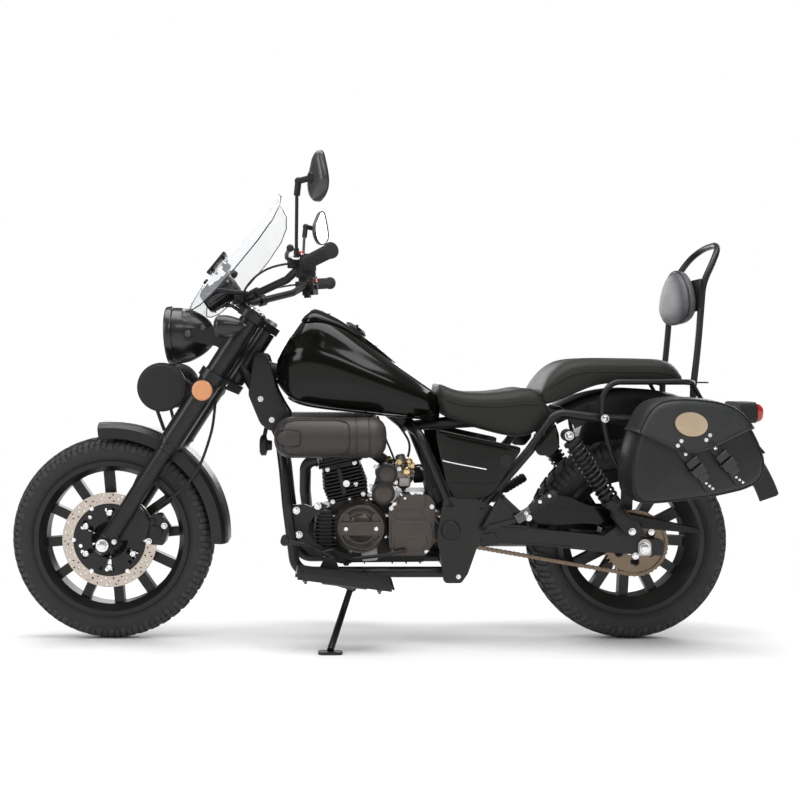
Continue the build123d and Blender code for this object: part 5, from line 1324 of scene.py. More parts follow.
piece("side_pod_seams", pair(pod_seam(*LONG_PANEL, 1.8), pod_seam(*FRONT_PANEL, 3.2)), "chassis",
      "engine_bronze", ENGINE_BLACK)
piece("side_pod_panels", pair(pod_patch(3.0, *FRONT_PANEL, rounding=0.9)), "chassis",
      "engine_bronze", POD_SATIN)


# -------- side panels
SIDE_COVER = [(171, 622), (412, 570), (331, 442), (300, 430), (224, 430), (203, 464)]


def crowned_panel(outline, near, crown, edge=7.0, count=64, radius=15):
    """A panel seen from the left whose face bulges, with a rolled edge."""
    ring = evened(rounded(outline, radius, 5), count)
    middle = Vector((sum(p.x for p in ring) / count, sum(p.y for p in ring) / count))
    rows = [[Vector((p.x, near, p.y)) for p in ring], [Vector((p.x, near - edge + 2, p.y)) for p in ring]]
    for t, rise in ((0.985, 0.0), (0.95, 0.20), (0.86, 0.48), (0.66, 0.78), (0.4, 0.95), (0.12, 1.0)):
        rows.append([Vector((middle.x + (p.x - middle.x) * t, near - edge - crown * rise,
                             middle.y + (p.y - middle.y) * t)) for p in ring])
    return loft(rows)


cover_form = crowned_panel(SIDE_COVER, near=-157, crown=5)
cover_skin = skin_of(cover_form)
REAR_COVER = [(446, 566), (502, 638), (513, 606), (514, 572), (492, 546), (456, 548)]
rear_form = crowned_panel(REAR_COVER, near=-151.3, crown=3, edge=6, count=40, radius=7)
covers = piece("side_cover_shells", pair(cover_form, rear_form, rod((470, -152, 606), (470, -149.5, 606), 6)),
               "chassis", "gloss_black", angle=50)
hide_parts("side_covers")
STRIPE_FRONT, STRIPE_REAR, STRIPE_STEPS = 187, 311, 24
line = []
for i in range(STRIPE_STEPS + 1):
    x = STRIPE_FRONT + i * (STRIPE_REAR - STRIPE_FRONT) / STRIPE_STEPS
    line.append(on_skin(cover_skin, x, 535.5 - 24.5 * (i / STRIPE_STEPS) ** 0.92, 0.2)[0])
piece("side_cover_pinstripe", pair(tube(line, 0, 1.5, 8)), "chassis", "gloss_black", WHITE_LINE)
crease = [on_skin(cover_skin, x, 474 - (x - 214) * 0.02, 0.1)[0] for x in range(212, 340, 9)]
lip = [on_skin(cover_skin, x, z, 0.3)[0] for x,
       z in ((182, 610), (230, 600), (300, 586), (360, 573), (398, 564))]
piece("side_cover_creases", pair(tube(crease, 0, 1.3, 6), tube(lip, 12, 1.6, 6)), "chassis", "gloss_black")
spot, out = on_skin(cover_skin, 362, 534)
knob = [lathe(spot - out * 2, out, [(0, 17), (4, 17), (5, 15), (5, 12), (3, 11), (3, 7), (7, 6), (8, 3),
                                    (8, 0.01)], 32)]
piece("side_cover_knob", pair(*knob), "chassis", "gloss_black", MATTE_BLACK)
NECK_COVER = [(-334, 832), (-300, 834), (-282, 780), (-272, 730), (-252, 690), (-228, 652), (-242, 634),
              (-287, 606), (-317, 628), (-352, 712)]
neck = crowned_panel(NECK_COVER, near=-61, crown=3, edge=5, count=48, radius=9)
necks = piece("neck_cover_shells", pair(neck, rod((-286, -62, 640), (-286, -55, 640), 8)), "chassis",
              "frame_black", angle=50)
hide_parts("neck_covers")
neck_skin = skin_of(neck)
bolts = [hex_bolt(on_skin(neck_skin, x, z)[0], LEFT, 10, 4) for x, z in ((-316, 700), (-284, 640))]
piece("neck_cover_bolts", pair(*bolts), "chassis", "frame_black", SILVER)
piece("neck_cover_rubber", pair(plate(rounded([(-322, 668), (-306, 674), (-296, 640), (-310, 634)], 4), -68,
                                      -62)), "chassis", "frame_black", GRIP_RUBBER, bevel=1)

# -------- chain, sprocket
CHAIN_Y, PITCH = -77.0, 12.7
SPROCKET_TEETH = 44
REAR_PITCH_RADIUS = PITCH / (2 * math.sin(math.pi / SPROCKET_TEETH))
FRONT_PITCH_RADIUS = 31.0
SHAFT = Vector((115, CHAIN_Y, 342))
HUB = Vector((REAR_AXLE.x, CHAIN_Y, REAR_AXLE.z))
gap = Vector((HUB.x - SHAFT.x, HUB.z - SHAFT.z))
slant = math.atan2(gap.y, gap.x)
spread = math.acos((FRONT_PITCH_RADIUS - REAR_PITCH_RADIUS) / gap.length)
loop = []
for k in range(60):
    angle = slant + spread + (2 * math.pi - 2 * spread) * k / 59
    loop.append(Vector((SHAFT.x + FRONT_PITCH_RADIUS * math.cos(angle),
                        SHAFT.z + FRONT_PITCH_RADIUS * math.sin(angle))))
for k in range(160):
    angle = slant - spread + 2 * spread * k / 159
    loop.append(Vector((HUB.x + REAR_PITCH_RADIUS * math.cos(angle),
                        HUB.z + REAR_PITCH_RADIUS * math.sin(angle))))
whole = sum((loop[(i + 1) % len(loop)] - loop[i]).length for i in range(len(loop)))
links_count = 2 * round(whole / PITCH / 2)
pins = evened(loop, links_count)


LINK_HALF = 5.6
INNER_LINK, OUTER_LINK, LINK_HALF_THICKNESS = 4.0, 5.6, 0.7


def link_plate(a, b, near, far):
    """One side of a link between two pins, waisted in the middle."""
    along = (b - a).normalized()
    across = Vector((-along.y, along.x))
    ring = []
    for pin, start, waist in ((a, math.pi / 2, -0.72), (b, -math.pi / 2, 0.72)):
        for k in range(7):
            angle = start + math.pi * k / 6
            ring.append(pin + along * math.cos(angle) * LINK_HALF + across * math.sin(angle) * LINK_HALF)
        ring.append((a + b) / 2 + across * LINK_HALF * waist)
    return plate([tuple(p) for p in ring], near, far)


chain_parts = []
for i in range(links_count):
    a, b = pins[i], pins[(i + 1) % links_count]
    for side in BOTH:
        near = CHAIN_Y + side * (OUTER_LINK if i % 2 else INNER_LINK)
        chain_parts.append(link_plate(a, b, near - LINK_HALF_THICKNESS, near + LINK_HALF_THICKNESS))
    chain_parts.append(lathe((a.x, CHAIN_Y - 7.4, a.y), RIGHT,
                             [(0, 0.01), (0, 2.0), (14.8, 2.0), (14.8, 0.01)], 8))
    chain_parts.append(lathe((a.x, CHAIN_Y - 3.2, a.y), RIGHT, [(0, 4.2), (6.4, 4.2)], 10))
chain = piece("drive_chain", chain_parts, "chassis", "chain_steel", smooth=False)
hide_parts("chain")


def toothed_outline(centre, teeth, pitch_radius):
    """A sprocket's outline, as (x, z)."""
    outline = []
    for i in range(teeth):
        for t, reach in ((0.0, -5.4), (0.16, -4.2), (0.34, 1.0), (0.44, 4.4), (0.56, 4.4),
                         (0.66, 1.0), (0.84, -4.2)):
            radius, angle = pitch_radius + reach, 2 * math.pi * (i + t) / teeth
            outline.append((centre.x + radius * math.cos(angle), centre.z + radius * math.sin(angle)))
    return outline


outlines = [toothed_outline(REAR_AXLE, SPROCKET_TEETH, REAR_PITCH_RADIUS),
            circle(REAR_AXLE.x, REAR_AXLE.z, 20, 40)]
outlines += ring_of_holes(REAR_AXLE, 52, 6, 30, 13, 24)
teeth = cut_plate(outlines, -80, -74)
collar = lathe((REAR_AXLE.x, -62.3, REAR_AXLE.z), LEFT, [(0, 36), (12, 36), (12, 20), (0, 20)], 48)
sprocket = piece("rear_sprocket_teeth", [teeth, collar], "rear_wheel", "chain_steel", smooth=False, bevel=0.4)
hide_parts("rear_sprocket")
nuts = bolt_row(places_round(REAR_AXLE, 30, 6), -80, 9, 6)
piece("sprocket_nuts", nuts, "rear_wheel", "chain_steel", SILVER)

# -------- shocks
SHOCK_TOP, SHOCK_FOOT = Vector((534, -166, 604)), Vector((705, -166, 343))
run = SHOCK_FOOT - SHOCK_TOP
down = run.normalized()
side_way, up_way = RIGHT, down.cross(RIGHT)
damper = [lathe(SHOCK_TOP, down, [(0, 0.01), (0, 12), (16, 13), (18, 24), (27, 25), (29, 19), (112, 19),
                                  (113, 15), (206, 15), (208, 23), (216, 24), (226, 24), (228, 20), (236, 17),
                                  (250, 21), (286, 21), (294, 16), (run.length, 13), (run.length, 0.01)], 36)]
for point in (SHOCK_TOP, SHOCK_FOOT):
    damper.append(lathe(point + Vector((0, 15, 0)), LEFT,
                        [(0, 8), (0, 16), (2, 17), (26, 17), (28, 16), (28, 8)], 36))
damper.append(brick(SHOCK_FOOT - down * 34, (56, 40, 30), down, LEFT))
damper.append(rod(SHOCK_TOP, SHOCK_TOP + Vector((0, 32, 0)), 7))
damper.append(rod(SHOCK_FOOT, SHOCK_FOOT + Vector((0, 22.7, 0)), 9))
shock = piece("shock_dampers", pair(*damper), "chassis", "matte_black", bevel=0.8, angle=35)
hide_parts("shock_absorbers")
COIL_TURNS, COIL_STEPS = 12.5, 250
COIL_START, COIL_END, COIL_RADIUS = 30, 204, 23.2
coil = []
for k in range(COIL_STEPS + 1):
    t = k / COIL_STEPS
    along = COIL_START + (COIL_END - COIL_START) * t
    angle = 2 * math.pi * COIL_TURNS * t
    coil.append(SHOCK_TOP + down * along
                + (side_way * math.cos(angle) + up_way * math.sin(angle)) * COIL_RADIUS)
piece("shock_springs", pair(tube(coil, 0, 3.8, 8)), "chassis", "matte_black", FRAME_BLACK)
fittings = []
for point, size in ((SHOCK_TOP, 20), (SHOCK_FOOT, 16)):
    face = point + Vector((0, -14.5, 0))
    fittings.append(lathe(point + Vector((0, -13, 0)), LEFT,
                          [(0, size * 0.62), (2, size * 0.62), (2, 0.01)], 28))
    fittings.append(dome_screw(face, LEFT, 9.5, 8) if point is SHOCK_TOP
                    else hex_bolt(face, LEFT, size * 0.8, 8, False))
piece("shock_bolts", pair(*fittings), "chassis", "matte_black", SILVER)

# -------- swingarm, rear axle, frame bolts
adjuster = plate(rounded([(734, 270), (734, 306), (746, 316), (758, 316), (770, 306), (770, 270)],
                         6), -149, -143.4)
piece("axle_adjuster_plates", pair(adjuster), "chassis", "axle_steel", BARE_ALLOY, bevel=1)
bolts = [hex_bolt((750, -149, 292), LEFT, 20, 12), rod((770, -140, 292), (781, -140, 292), 3.0, 12),
         hex_bolt((700, -143, 346), LEFT, 15, 8), hex_bolt((716, -143, 348), LEFT, 12, 7),
         hex_bolt((772, -143, 334), LEFT, 11, 6), hex_bolt((728, -143, 268), LEFT, 12, 7),
         hex_bolt((424, -178, 380), LEFT, 11, 6), hex_bolt((356, -143, 368), LEFT, 9, 5),
         hex_bolt((636, -166, 650), LEFT, 14, 8), hex_bolt((236, -156, 214), LEFT, 8, 4)]
piece("rear_bolts", pair(*bolts), "chassis", "axle_steel", SILVER)
pivot_cap = lathe((215, -155, 342), LEFT, [(0, 27), (5, 27), (8, 25), (11, 18), (12, 0.01)], 40)
piece("swingarm_pivot_caps", pair(pivot_cap), "chassis", "frame_black", MATTE_BLACK)
arm = [plate(rounded([(676, 322), (690, 366), (734, 366), (760, 322)], 8), -144.5, -140),
       plate(rounded([(300, 292), (296, 330), (340, 334), (352, 300)], 6), -144.5, -140),
       brick((420, -143.5, 343), (260, 2.5, 5), (0.99, 0, -0.08)),
       brick((420, -143.5, 302), (260, 2.5, 5), (0.99, 0, -0.06))]
piece("swingarm_plates", pair(*arm), "chassis", "frame_black", bevel=1.2)
guard = [tube([(446, -97, 398), (486, -97, 434), (560, -97, 426), (600, -97, 404), (760, -97, 371),
               (926, -97, 334)], 16, 2.4, 8), brick((560, -97, 388), (150, 3, 4), (0.99, 0, -0.14)),
         brick((700, -97, 366), (300, 2, 3), (0.977, 0, -0.21))]
piece("chain_guard_beads", guard, "chassis", "gloss_black")
welds = [lathe(at, (0, -0.2, 1), [(-3, 15), (0, 16.5), (3, 15)],
               20) for at in ((212, -146, 412), (300, -142, 404))]
piece("frame_weld_beads", pair(*welds), "chassis", "frame_black")

# -------- footboards and pegs
STRIP_SECTION = [(-3, -3), (-3, 2.5), (3, 2.5), (3, -3)]
board = []
for k in range(8):
    y = -268 + k * 12
    board.append(loft([[Vector((x, y + dy, z + dz)) for dy, dz in STRIP_SECTION] for x,
                       z in ((-204, 250.5), (42, 218.5))]))
piece("footboard_rubbers", pair(*board), "chassis", "frame_black", GRIP_RUBBER, bevel=1)
under = [lathe((x, -222, z), Vector((0.12, 0, -1)), [(0, 7), (5, 7), (5, 4), (11, 4), (11, 0.01)], 14) for x,
         z in ((-184, 223), (14, 196))]
under.append(brick((-80, -222, 209), (120, 24, 5), (0.992, 0, -0.127)))
under.append(tube([(-96, -216, 206), (-60, -216, 196), (-52, -216, 205)], 8, 3, 8))
piece("footboard_underside", pair(*under), "chassis", "frame_black", DARK_METAL)
lever = [rod((-239, -216, 323), (-239, -174, 323), 10.5, 24)]
for k in range(5):
    lever.append(turned_ring((-239, -211 + k * 8.4, 323), LEFT, [(0, 10), (0, 12), (3, 12), (3, 10)], 24))
piece("lever_rubbers", pair(*lever), "chassis", "frame_black", GRIP_RUBBER)
PEG_ROOT, PEG_TIP = Vector((404, -177, 388)), Vector((500, -177, 446))
way = (PEG_TIP - PEG_ROOT).normalized()
pegs = [lathe(PEG_ROOT, way, [(30, 0.01), (30, 12), (33, 14), (108, 14), (112, 11), (113, 0.01)], 6)]
for k in range(6):
    pegs.append(lathe(PEG_ROOT, way, [(38 + k * 12, 13), (39 + k * 12, 15.2), (43 + k * 12, 15.2),
                                      (44 + k * 12, 13)], 20))
piece("passenger_peg_rubbers", pair(*pegs), "chassis", "frame_black", GRIP_RUBBER, bevel=0.6)
pegs = [lathe(PEG_ROOT, way, [(-14, 0.01), (-14, 9), (0, 10), (26, 10), (26, 0.01)], 16),
        brick(PEG_ROOT - way * 4 + Vector((0, 4, -4)), (26, 26, 24), way, LEFT)]
piece("passenger_peg_hinges", pair(*pegs), "chassis", "frame_black", DARK_METAL, bevel=1.5)
studs = [hex_bolt(PEG_ROOT + way * along + Vector((-6, -14, 6)), LEFT, 6, 3) for along in (62, 92)]
studs.append(hex_bolt(PEG_ROOT + way * 12 + Vector((0, -12, 0)), LEFT, 7, 4))
piece("passenger_peg_screws", pair(*studs), "chassis", "frame_black", SILVER)

# -------- places on the grips
GRIP_START = Vector((-190, -255, 1060))
GRIP_WAY = (Vector((-118, -385, 1078)) - GRIP_START).normalized()


def on_grip(out, forward=0.0, up=0.0):
    """A place by its distance out along the left grip, ahead of it and above it."""
    ahead = Vector((GRIP_WAY.y, -GRIP_WAY.x, 0)).normalized()
    return GRIP_START + GRIP_WAY * out + ahead * forward + Vector((0, 0, up))


# -------- headlamp
LAMP_TILT = math.radians(3)
LAMP_RIM, LAMP_WAY = Vector((-590, 0, 883)), Vector((math.cos(LAMP_TILT), 0, math.sin(LAMP_TILT)))


def smooth_profile(knots, step=3.0):
    """A turned outline with the knots of (along, radius) joined by a smooth curve."""
    first, last = knots[0][0], knots[-1][0]
    count = max(2, round((last - first) / step))
    places = [first + (last - first) * i / count for i in range(count + 1)]
    return [(along, spline(knots, along)[0]) for along in places]


SHELL_KNOTS = [(24, 83.5), (40, 82), (60, 78), (82, 69), (102, 57), (120, 42), (131, 27), (136, 14), (138, 3)]
shell = [(7, 74.5), (14, 76), (22, 80), (22, 83.5)] + smooth_profile(SHELL_KNOTS)[1:] + [(138, 0.01)]
bowl = [lathe(LAMP_RIM, LAMP_WAY, shell, 96)]
bowl.append(lathe(LAMP_RIM, LAMP_WAY, [(-1, 76.5), (-2, 79), (-1.5, 84), (0, 86.5), (3, 88), (16, 88),
                                       (19, 87), (20, 84.5), (22, 83)], 96))
bowl += [rod((-520, side * 60, 885), (-520, side * 79.7, 885), 11) for side in BOTH]
bowl.append(lathe(LAMP_RIM + LAMP_WAY * 12 - Vector((0, 0, 87)), DOWN,
                  [(-3, 5), (2, 5), (3, 3), (3, 0.01)], 16))
headlamp = piece("headlamp_shell", bowl, "front_end", "matte_black", LAMP_BLACK, angle=30)
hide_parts("headlamp")
dish = [lathe(LAMP_RIM, LAMP_WAY, [(7.5, 74), (14, 71), (26, 62), (36, 50), (44, 34), (48, 16),
                                   (49, 0.01)], 64)]
piece("headlamp_reflector", dish, "front_end", "lens_clear", REFLECTOR_BOWL)
bulb = [lathe(LAMP_RIM, LAMP_WAY, [(10, 0.01), (10.5, 6), (14, 9), (18, 10), (30, 10), (34, 7), (48, 7)], 24)]
piece("headlamp_bulb_cap", bulb, "front_end", "lens_clear", SILVER)
screws = [cap_screw((-478, side * 84.5, 902), (0, side, 0), 7, 5) for side in BOTH]
screws += [cap_screw((-520, side * 84.5, 885), (0, side, 0), 9, 6) for side in BOTH]
piece("lamp_ear_screws", screws, "front_end", "frame_black", DARK_METAL)

SIDE_LAMP_X, SIDE_LAMP_Z = -588, 735
SIDE_LAMP_OUTLINE = [(82, 22), (84, 38), (88, 50), (96, 60), (104, 65.5), (111, 67), (123, 67), (125.5, 66),
                     (126.4, 63), (127, 61.5), (128.6, 60.5), (130.2, 54), (131.2, 40),
                     (131.8, 20), (132, 0.01)]
lamps = [lathe((SIDE_LAMP_X, 0, SIDE_LAMP_Z), LEFT, SIDE_LAMP_OUTLINE, 80),
         rod(on_leg(505, -33.3, -LEG_OUT), on_leg(505, -76, -LEG_OUT), 8)]
lamps.append(rod((-612, -100, 690), (-588, -84, 612), 5))
lamps.append(turned_ring((SIDE_LAMP_X, -113, SIDE_LAMP_Z), LEFT,
                         [(0, 66), (0, 68.6), (9, 68.6), (9, 66)], 80))
side_lamps = piece("side_lamp_shells", pair(*lamps), "front_end", "matte_black", angle=30)
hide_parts("side_lamps")

INDICATOR = Vector((-433, -180, 902))
INDICATOR_KNOTS = [(0, 15), (4, 24), (10, 28.5), (18, 30), (36, 30), (54, 26), (70, 20), (80, 12), (86, 4)]
pods = [lathe(INDICATOR, REARWARD, smooth_profile(INDICATOR_KNOTS, 3.5) + [(87, 0.01)], 56),
        turned_ring(INDICATOR, REARWARD, [(12, 28), (12, 30.8), (17, 31.2), (17, 28)], 56)]
foot = on_leg((INDICATOR.z - FRONT_AXLE.z) / UP_FORK.z)
pods.append(rod((foot.x, -128.5, INDICATOR.z), (foot.x, -168, INDICATOR.z), 8))
indicators = piece("front_indicator_pods", pair(*pods), "front_end", "matte_black", LAMP_BLACK, angle=40)
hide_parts("front_indicators")
indicator_lens = lathe(INDICATOR, REARWARD, [(-1.2, 0.01), (-1, 8), (0, 14), (3, 21.5)], 40)
piece("front_indicator_lenses", pair(indicator_lens), "front_end", "lens_clear", LENS_SMOKE)

# -------- windshield
SCREEN_FOOT = Vector((-496, 0, 1020))
SCREEN_UP, SCREEN_BACK = Vector((0.632, 0, 0.775)), Vector((0.775, 0, -0.632))
SCREEN_CURVE, SCREEN_WALL = 350.0, 4.0
SCREEN_CUTS, SCREEN_REACH = 20, 211


def on_screen(y, z, out=0.0):
    """A place on the outer face of the curved screen."""
    fall = SCREEN_CURVE - math.sqrt(SCREEN_CURVE ** 2 - y * y)
    along = (z - SCREEN_FOOT.z - SCREEN_BACK.z * fall) / SCREEN_UP.z
    spot = SCREEN_FOOT + SCREEN_BACK * fall + SCREEN_UP * along
    away = (SCREEN_BACK * -math.sqrt(1 - (y / SCREEN_CURVE) ** 2)
            + Vector((0, y / SCREEN_CURVE, 0))).normalized()
    return Vector((spot.x, y, spot.z)) + away * out


SCREEN_HALF = [(0, 1292), (60, 1287), (110, 1277), (150, 1263), (184, 1232), (203, 1190), (211, 1130),
               (211, 1060), (205, 1000), (193, 962), (176, 950), (158, 950), (140, 966), (120, 987),
               (95, 1010), (70, 1026), (40, 1031), (0, 1031)]
fine = []
for (y0, z0), (y1, z1) in zip(SCREEN_HALF, SCREEN_HALF[1:]):
    for k in range(4):
        fine.append((y0 + (y1 - y0) * k / 4, z0 + (z1 - z0) * k / 4))
fine.append(SCREEN_HALF[-1])
edge = [(-y, z) for y, z in fine] + [(y, z) for y, z in fine[-2:0:-1]]
edge_line = [on_screen(y, z, -2.0) for y, z in edge]
piece("screen_edge", tube(edge_line, 0, 1.9, 8, closed=True), "front_end", "clear_screen", SCREEN_EDGE)


# The flat outline is cut into upright strips, so that it bends smoothly round the curve.
work = bmesh.new()
ring = [work.verts.new((0, y, z)) for y, z in edge]
work.faces.new(ring)
bmesh.ops.triangulate(work, faces=work.faces)
for cut in range(1, SCREEN_CUTS):
    place = -SCREEN_REACH + 2 * SCREEN_REACH * cut / SCREEN_CUTS
    whole = work.verts[:] + work.edges[:] + work.faces[:]
    bmesh.ops.bisect_plane(work, geom=whole, plane_co=(0, place, 0), plane_no=RIGHT)
bmesh.ops.dissolve_limit(work, angle_limit=0.001, verts=work.verts[:], edges=[])
work.verts.index_update()
flat = [(v.co.y, v.co.z) for v in work.verts]
front = [on_screen(y, z) for y, z in flat]
behind = [on_screen(y, z, -SCREEN_WALL) for y, z in flat]
faces = [tuple(v.index for v in face.verts) for face in work.faces]
work.free()
count = len(front)
faces += [tuple(i + count for i in reversed(face)) for face in faces]
glass = piece("screen_glass", (front + behind, faces), "front_end", "clear_screen", angle=60)
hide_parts("windshield")
VENT_HEIGHT = 1088
bar_middle = on_screen(0, VENT_HEIGHT, 9)
vent = [brick(bar_middle, (80, 86, 8), SCREEN_UP, -SCREEN_BACK)]
vent += [rod(on_screen(side * 26, z, -3), on_screen(side * 26, z, 8), 5) for side in BOTH
         for z in (VENT_HEIGHT - 18, VENT_HEIGHT + 18)]
piece("screen_vent_bar", vent, "front_end", "matte_black", bevel=3)
knobs = []
for side in BOTH:
    spot = on_screen(side * 110, 1030, 0)
    away = (on_screen(side * 110, 1030, 10) - spot).normalized()
    knobs.append(dome_screw(spot, away, 9, 6))
    spot = on_screen(side * 92, 1086, -4)
    knobs.append(lathe(spot, -away, [(0, 5), (10, 5), (10, 12), (14, 13), (22, 13), (25, 10),
                                     (26, 0.01)], 20))
piece("screen_knobs", knobs, "front_end", "matte_black")

# -------- mirrors
HEAD, FACE = Vector((-150, -372, 1262)), Vector((0.87, 0.48, 0.10)).normalized()
OUTWARD = Vector((0.48, -0.87, 0))
OUTWARD = (OUTWARD - FACE * OUTWARD.dot(FACE)).normalized()
RISE = FACE.cross(OUTWARD).normalized()
RISE = RISE if RISE.z > 0 else -RISE
LEAF = [(-46, -16), (-40, 8), (4, 58), (22, 63), (33, 56), (44, 14), (47, -14), (40, -34), (20, -50),
        (-6, -58), (-24, -54), (-40, -40)]
leaf = evened(rounded(LEAF, 14, 5), 56)
middle = Vector((0, -2))


def leaf_ring(scale, depth):
    """The mirror's outline, at a size and a height over its middle plane."""
    spots = [(middle.x + (p.x - middle.x) * scale, middle.y + (p.y - middle.y) * scale) for p in leaf]
    return [HEAD + OUTWARD * u + RISE * v + FACE * depth for u, v in spots]


HEAD_LAYERS = [(0.90, 4.0), (0.955, 6), (1.0, 5.5), (1.02, 2), (1.01, -3), (0.97, -7), (0.86, -11),
               (0.66, -14), (0.42, -16), (0.16, -17)]
heads = [loft([leaf_ring(scale, depth) for scale, depth in HEAD_LAYERS])]
piece("mirror_heads", pair(*heads), "front_end", "matte_black", MIRROR_BACK, angle=50)
glass = [loft([leaf_ring(0.93, 4.4), leaf_ring(0.93, 5.2)])]
piece("mirror_rims", pair(tube(leaf_ring(0.985, 5.4), 0, 2.4, 8, closed=True)), "front_end", "matte_black")
piece("mirror_glasses", pair(*glass), "front_end", "matte_black", MIRROR_GLASS, angle=20)
root, knee, top_bend = on_grip(4, 20, 17.3), on_grip(4, 20, 60), Vector((-202, -330, 1234))
elbow = Vector((-198, -334, 1262))
stalks = [tube([root, knee, top_bend], 20, 4.6, 14),
          tube([on_grip(4, 20, 17.3), on_grip(4, 20, 40)], 0, 7.5, 14),
          tube([top_bend - Vector((0, 0, 8)), elbow], 0, 8.5, 14), ball(elbow, 10),
          tube([elbow, HEAD - FACE * 14], 0, 8, 14),
          lathe(HEAD - FACE * 22, FACE, [(0, 0.01), (0, 12), (8, 15)], 20)]
stalks.append(lathe(root, (knee - root), [(0, 9), (9, 9), (9, 6)], 6))
mirrors = piece("mirror_stalks", pair(*stalks), "front_end", "matte_black")
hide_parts("mirrors")

# -------- grips and controls
way = (on_grip(100) - on_grip(0)).normalized()
RIB_OUTLINE = [(0, 16.5), (1, 18.4), (5.5, 18.4), (6.5, 16.5)]
ribs = [turned_ring(on_grip(36 + k * 9.5), way, RIB_OUTLINE, 32) for k in range(11)]
ribs.append(lathe(on_grip(0), way, [(143, 17), (145, 19.6), (150, 20.6), (157, 20.6), (159.5, 18),
                                    (159.5, 12), (158.5, 10), (158.5, 0.01)], 40))
ribs.append(turned_ring(on_grip(26), way, [(-2.5, 17), (-2.5, 22.4), (1.5, 22.4), (1.5, 17)], 40))
piece("grip_ribs", pair(*ribs), "front_end", "grip_rubber")
switches = [brick(on_grip(10, -4, -12), (34, 42, 46), way, UP),
            brick(on_grip(8, -10, 12), (30, 30, 26), way, UP),
            brick(on_grip(-6, 24, 2), (22, 26, 20), way, UP),
            brick(on_grip(-10, -6, -34), (14, 20, 18), way, UP),
            brick(on_grip(12, -28, -10), (12, 8, 14), way, UP),
            tube([on_grip(-14, 6, 4), on_grip(-14, 26, 4), on_grip(0, 34, 4)], 8, 6),
            lathe(on_grip(-12), way, [(0, 16), (3, 18), (8, 18), (10, 16)], 28)]
controls = piece("switch_boxes", pair(*switches), "front_end", "matte_black", bevel=2.2)
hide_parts("hand_controls")
piece("left_red_switch", brick(on_grip(2, 8, 28), (15, 10, 11), way, UP), "front_end", "matte_black",
      RED_SWITCH, bevel=1.6)
piece("right_red_switch", mirrored(brick(on_grip(10, -26, 12), (10, 5, 12), way, UP)), "front_end",
      "matte_black", RED_SWITCH, bevel=1)
piece("left_orange_switch", brick(on_grip(10, -26, 4), (10, 5, 7), way, UP), "front_end", "matte_black",
      ORANGE_SWITCH, bevel=1)
metal = [hex_bolt(on_grip(4, 30, 19), UP, 8, 4), hex_bolt(on_grip(18, 10, 22), UP, 6, 3),
         cap_screw(on_grip(-8, 0, 19), UP, 4, 3)]
piece("control_screws", pair(*metal), "front_end", "matte_black", SILVER)
blade = [tube([on_grip(0, 28, 6), on_grip(26, 60, 8), on_grip(80, 86, 6), on_grip(136, 104, 2)], 28, 6.4, 14)]
piece("lever_blades", pair(*blade), "front_end", "matte_black", MIRROR_BACK)
piece("lever_balls", pair(ball(on_grip(140, 105, 1.5), 9.4)), "front_end", "matte_black")
clamps = []
for side in BOTH:
    for x, z in ((-378, 978), (-372, 991)):
        clamps.append(brick((x, side * 46, z), (40, 30, 12)))
    for ahead in (-1, 1):
        clamps.append(cap_screw((-375 + ahead * 15, side * 46, 996), UP, 5, 5))
piece("bar_clamps", clamps, "front_end", "frame_black", bevel=2)

# -------- dial
DIAL_WAY = Vector((0.823, 0, 0.568)).normalized()
DIAL = Vector((-483, 0, 977))
piece("dial_face", lathe(DIAL, DIAL_WAY, [(106.4, 33), (106.4, 0.01)], 48), "front_end", "dial_black")
_, dial_side, dial_up = axes_for(DIAL_WAY)
marks = []
for k in range(13):
    angle = math.radians(-120 + 20 * k)
    ray = dial_up * math.cos(angle) + dial_side * math.sin(angle)
    marks.append(brick(DIAL + DIAL_WAY * 106.8 + ray * 28, (6 if k % 2 == 0 else 3.5, 1.4, 0.4),
                       ray, DIAL_WAY))
marks.append(brick(DIAL + DIAL_WAY * 107.2 + dial_up * 8, (26, 1.2, 0.5), dial_up, DIAL_WAY))
piece("dial_marks", marks, "front_end", "dial_black", WHITE_LINE, smooth=False)
DIAL_RING_OUTLINE = [(100, 38), (100, 42.4), (106, 42.6), (109.5, 40), (109.5, 33.4), (107, 33)]
piece("dial_ring", turned_ring(DIAL, DIAL_WAY, DIAL_RING_OUTLINE, 56), "front_end", "dial_black", DARK_METAL)
case_ribs = []
for k in range(4):
    start, radius = 8 + 24 * k, 39 + k * 0.7
    outline = [(start, 37), (start + 1, radius), (start + 6, radius), (start + 7, 37)]
    case_ribs.append(turned_ring(DIAL, DIAL_WAY, outline, 48))
piece("dial_case_ribs", case_ribs, "front_end", "dial_black")

# -------- fork fittings
fork = []
for side in BOTH:
    for up, behind in ((559, 41), (759, 40)):
        fork.append(hex_bolt(on_leg(up, behind, side * (LEG_OUT - 8)), (UP_FORK.z, 0, -UP_FORK.x), 9, 6))
    fork.append(lathe(on_leg(779, 0, side * LEG_OUT), UP_FORK,
                      [(0, 22), (4, 22), (7, 19), (8, 12), (8, 0.01)], 32))
    fork.append(lathe(on_leg(-28, 0, side * LEG_OUT), -UP_FORK, [(0, 17), (3, 14), (3, 0.01)], 24))
fork.append(lathe(on_leg(770, 50, 0), UP_FORK, [(0, 20), (10, 20), (12, 17), (12, 0.01)], 6))
piece("fork_bolts", fork, "front_end", "frame_black", SILVER)
REFLECTOR_UP = 513
reflector = on_leg(REFLECTOR_UP)
rims = [turned_ring((reflector.x, -133.6, reflector.z), LEFT,
                    [(0, 28.5), (0, 32), (6, 32), (7, 30), (7, 28.5)], 48)]
piece("reflector_rims", pair(*rims), "front_end", "reflector_orange", MATTE_BLACK)
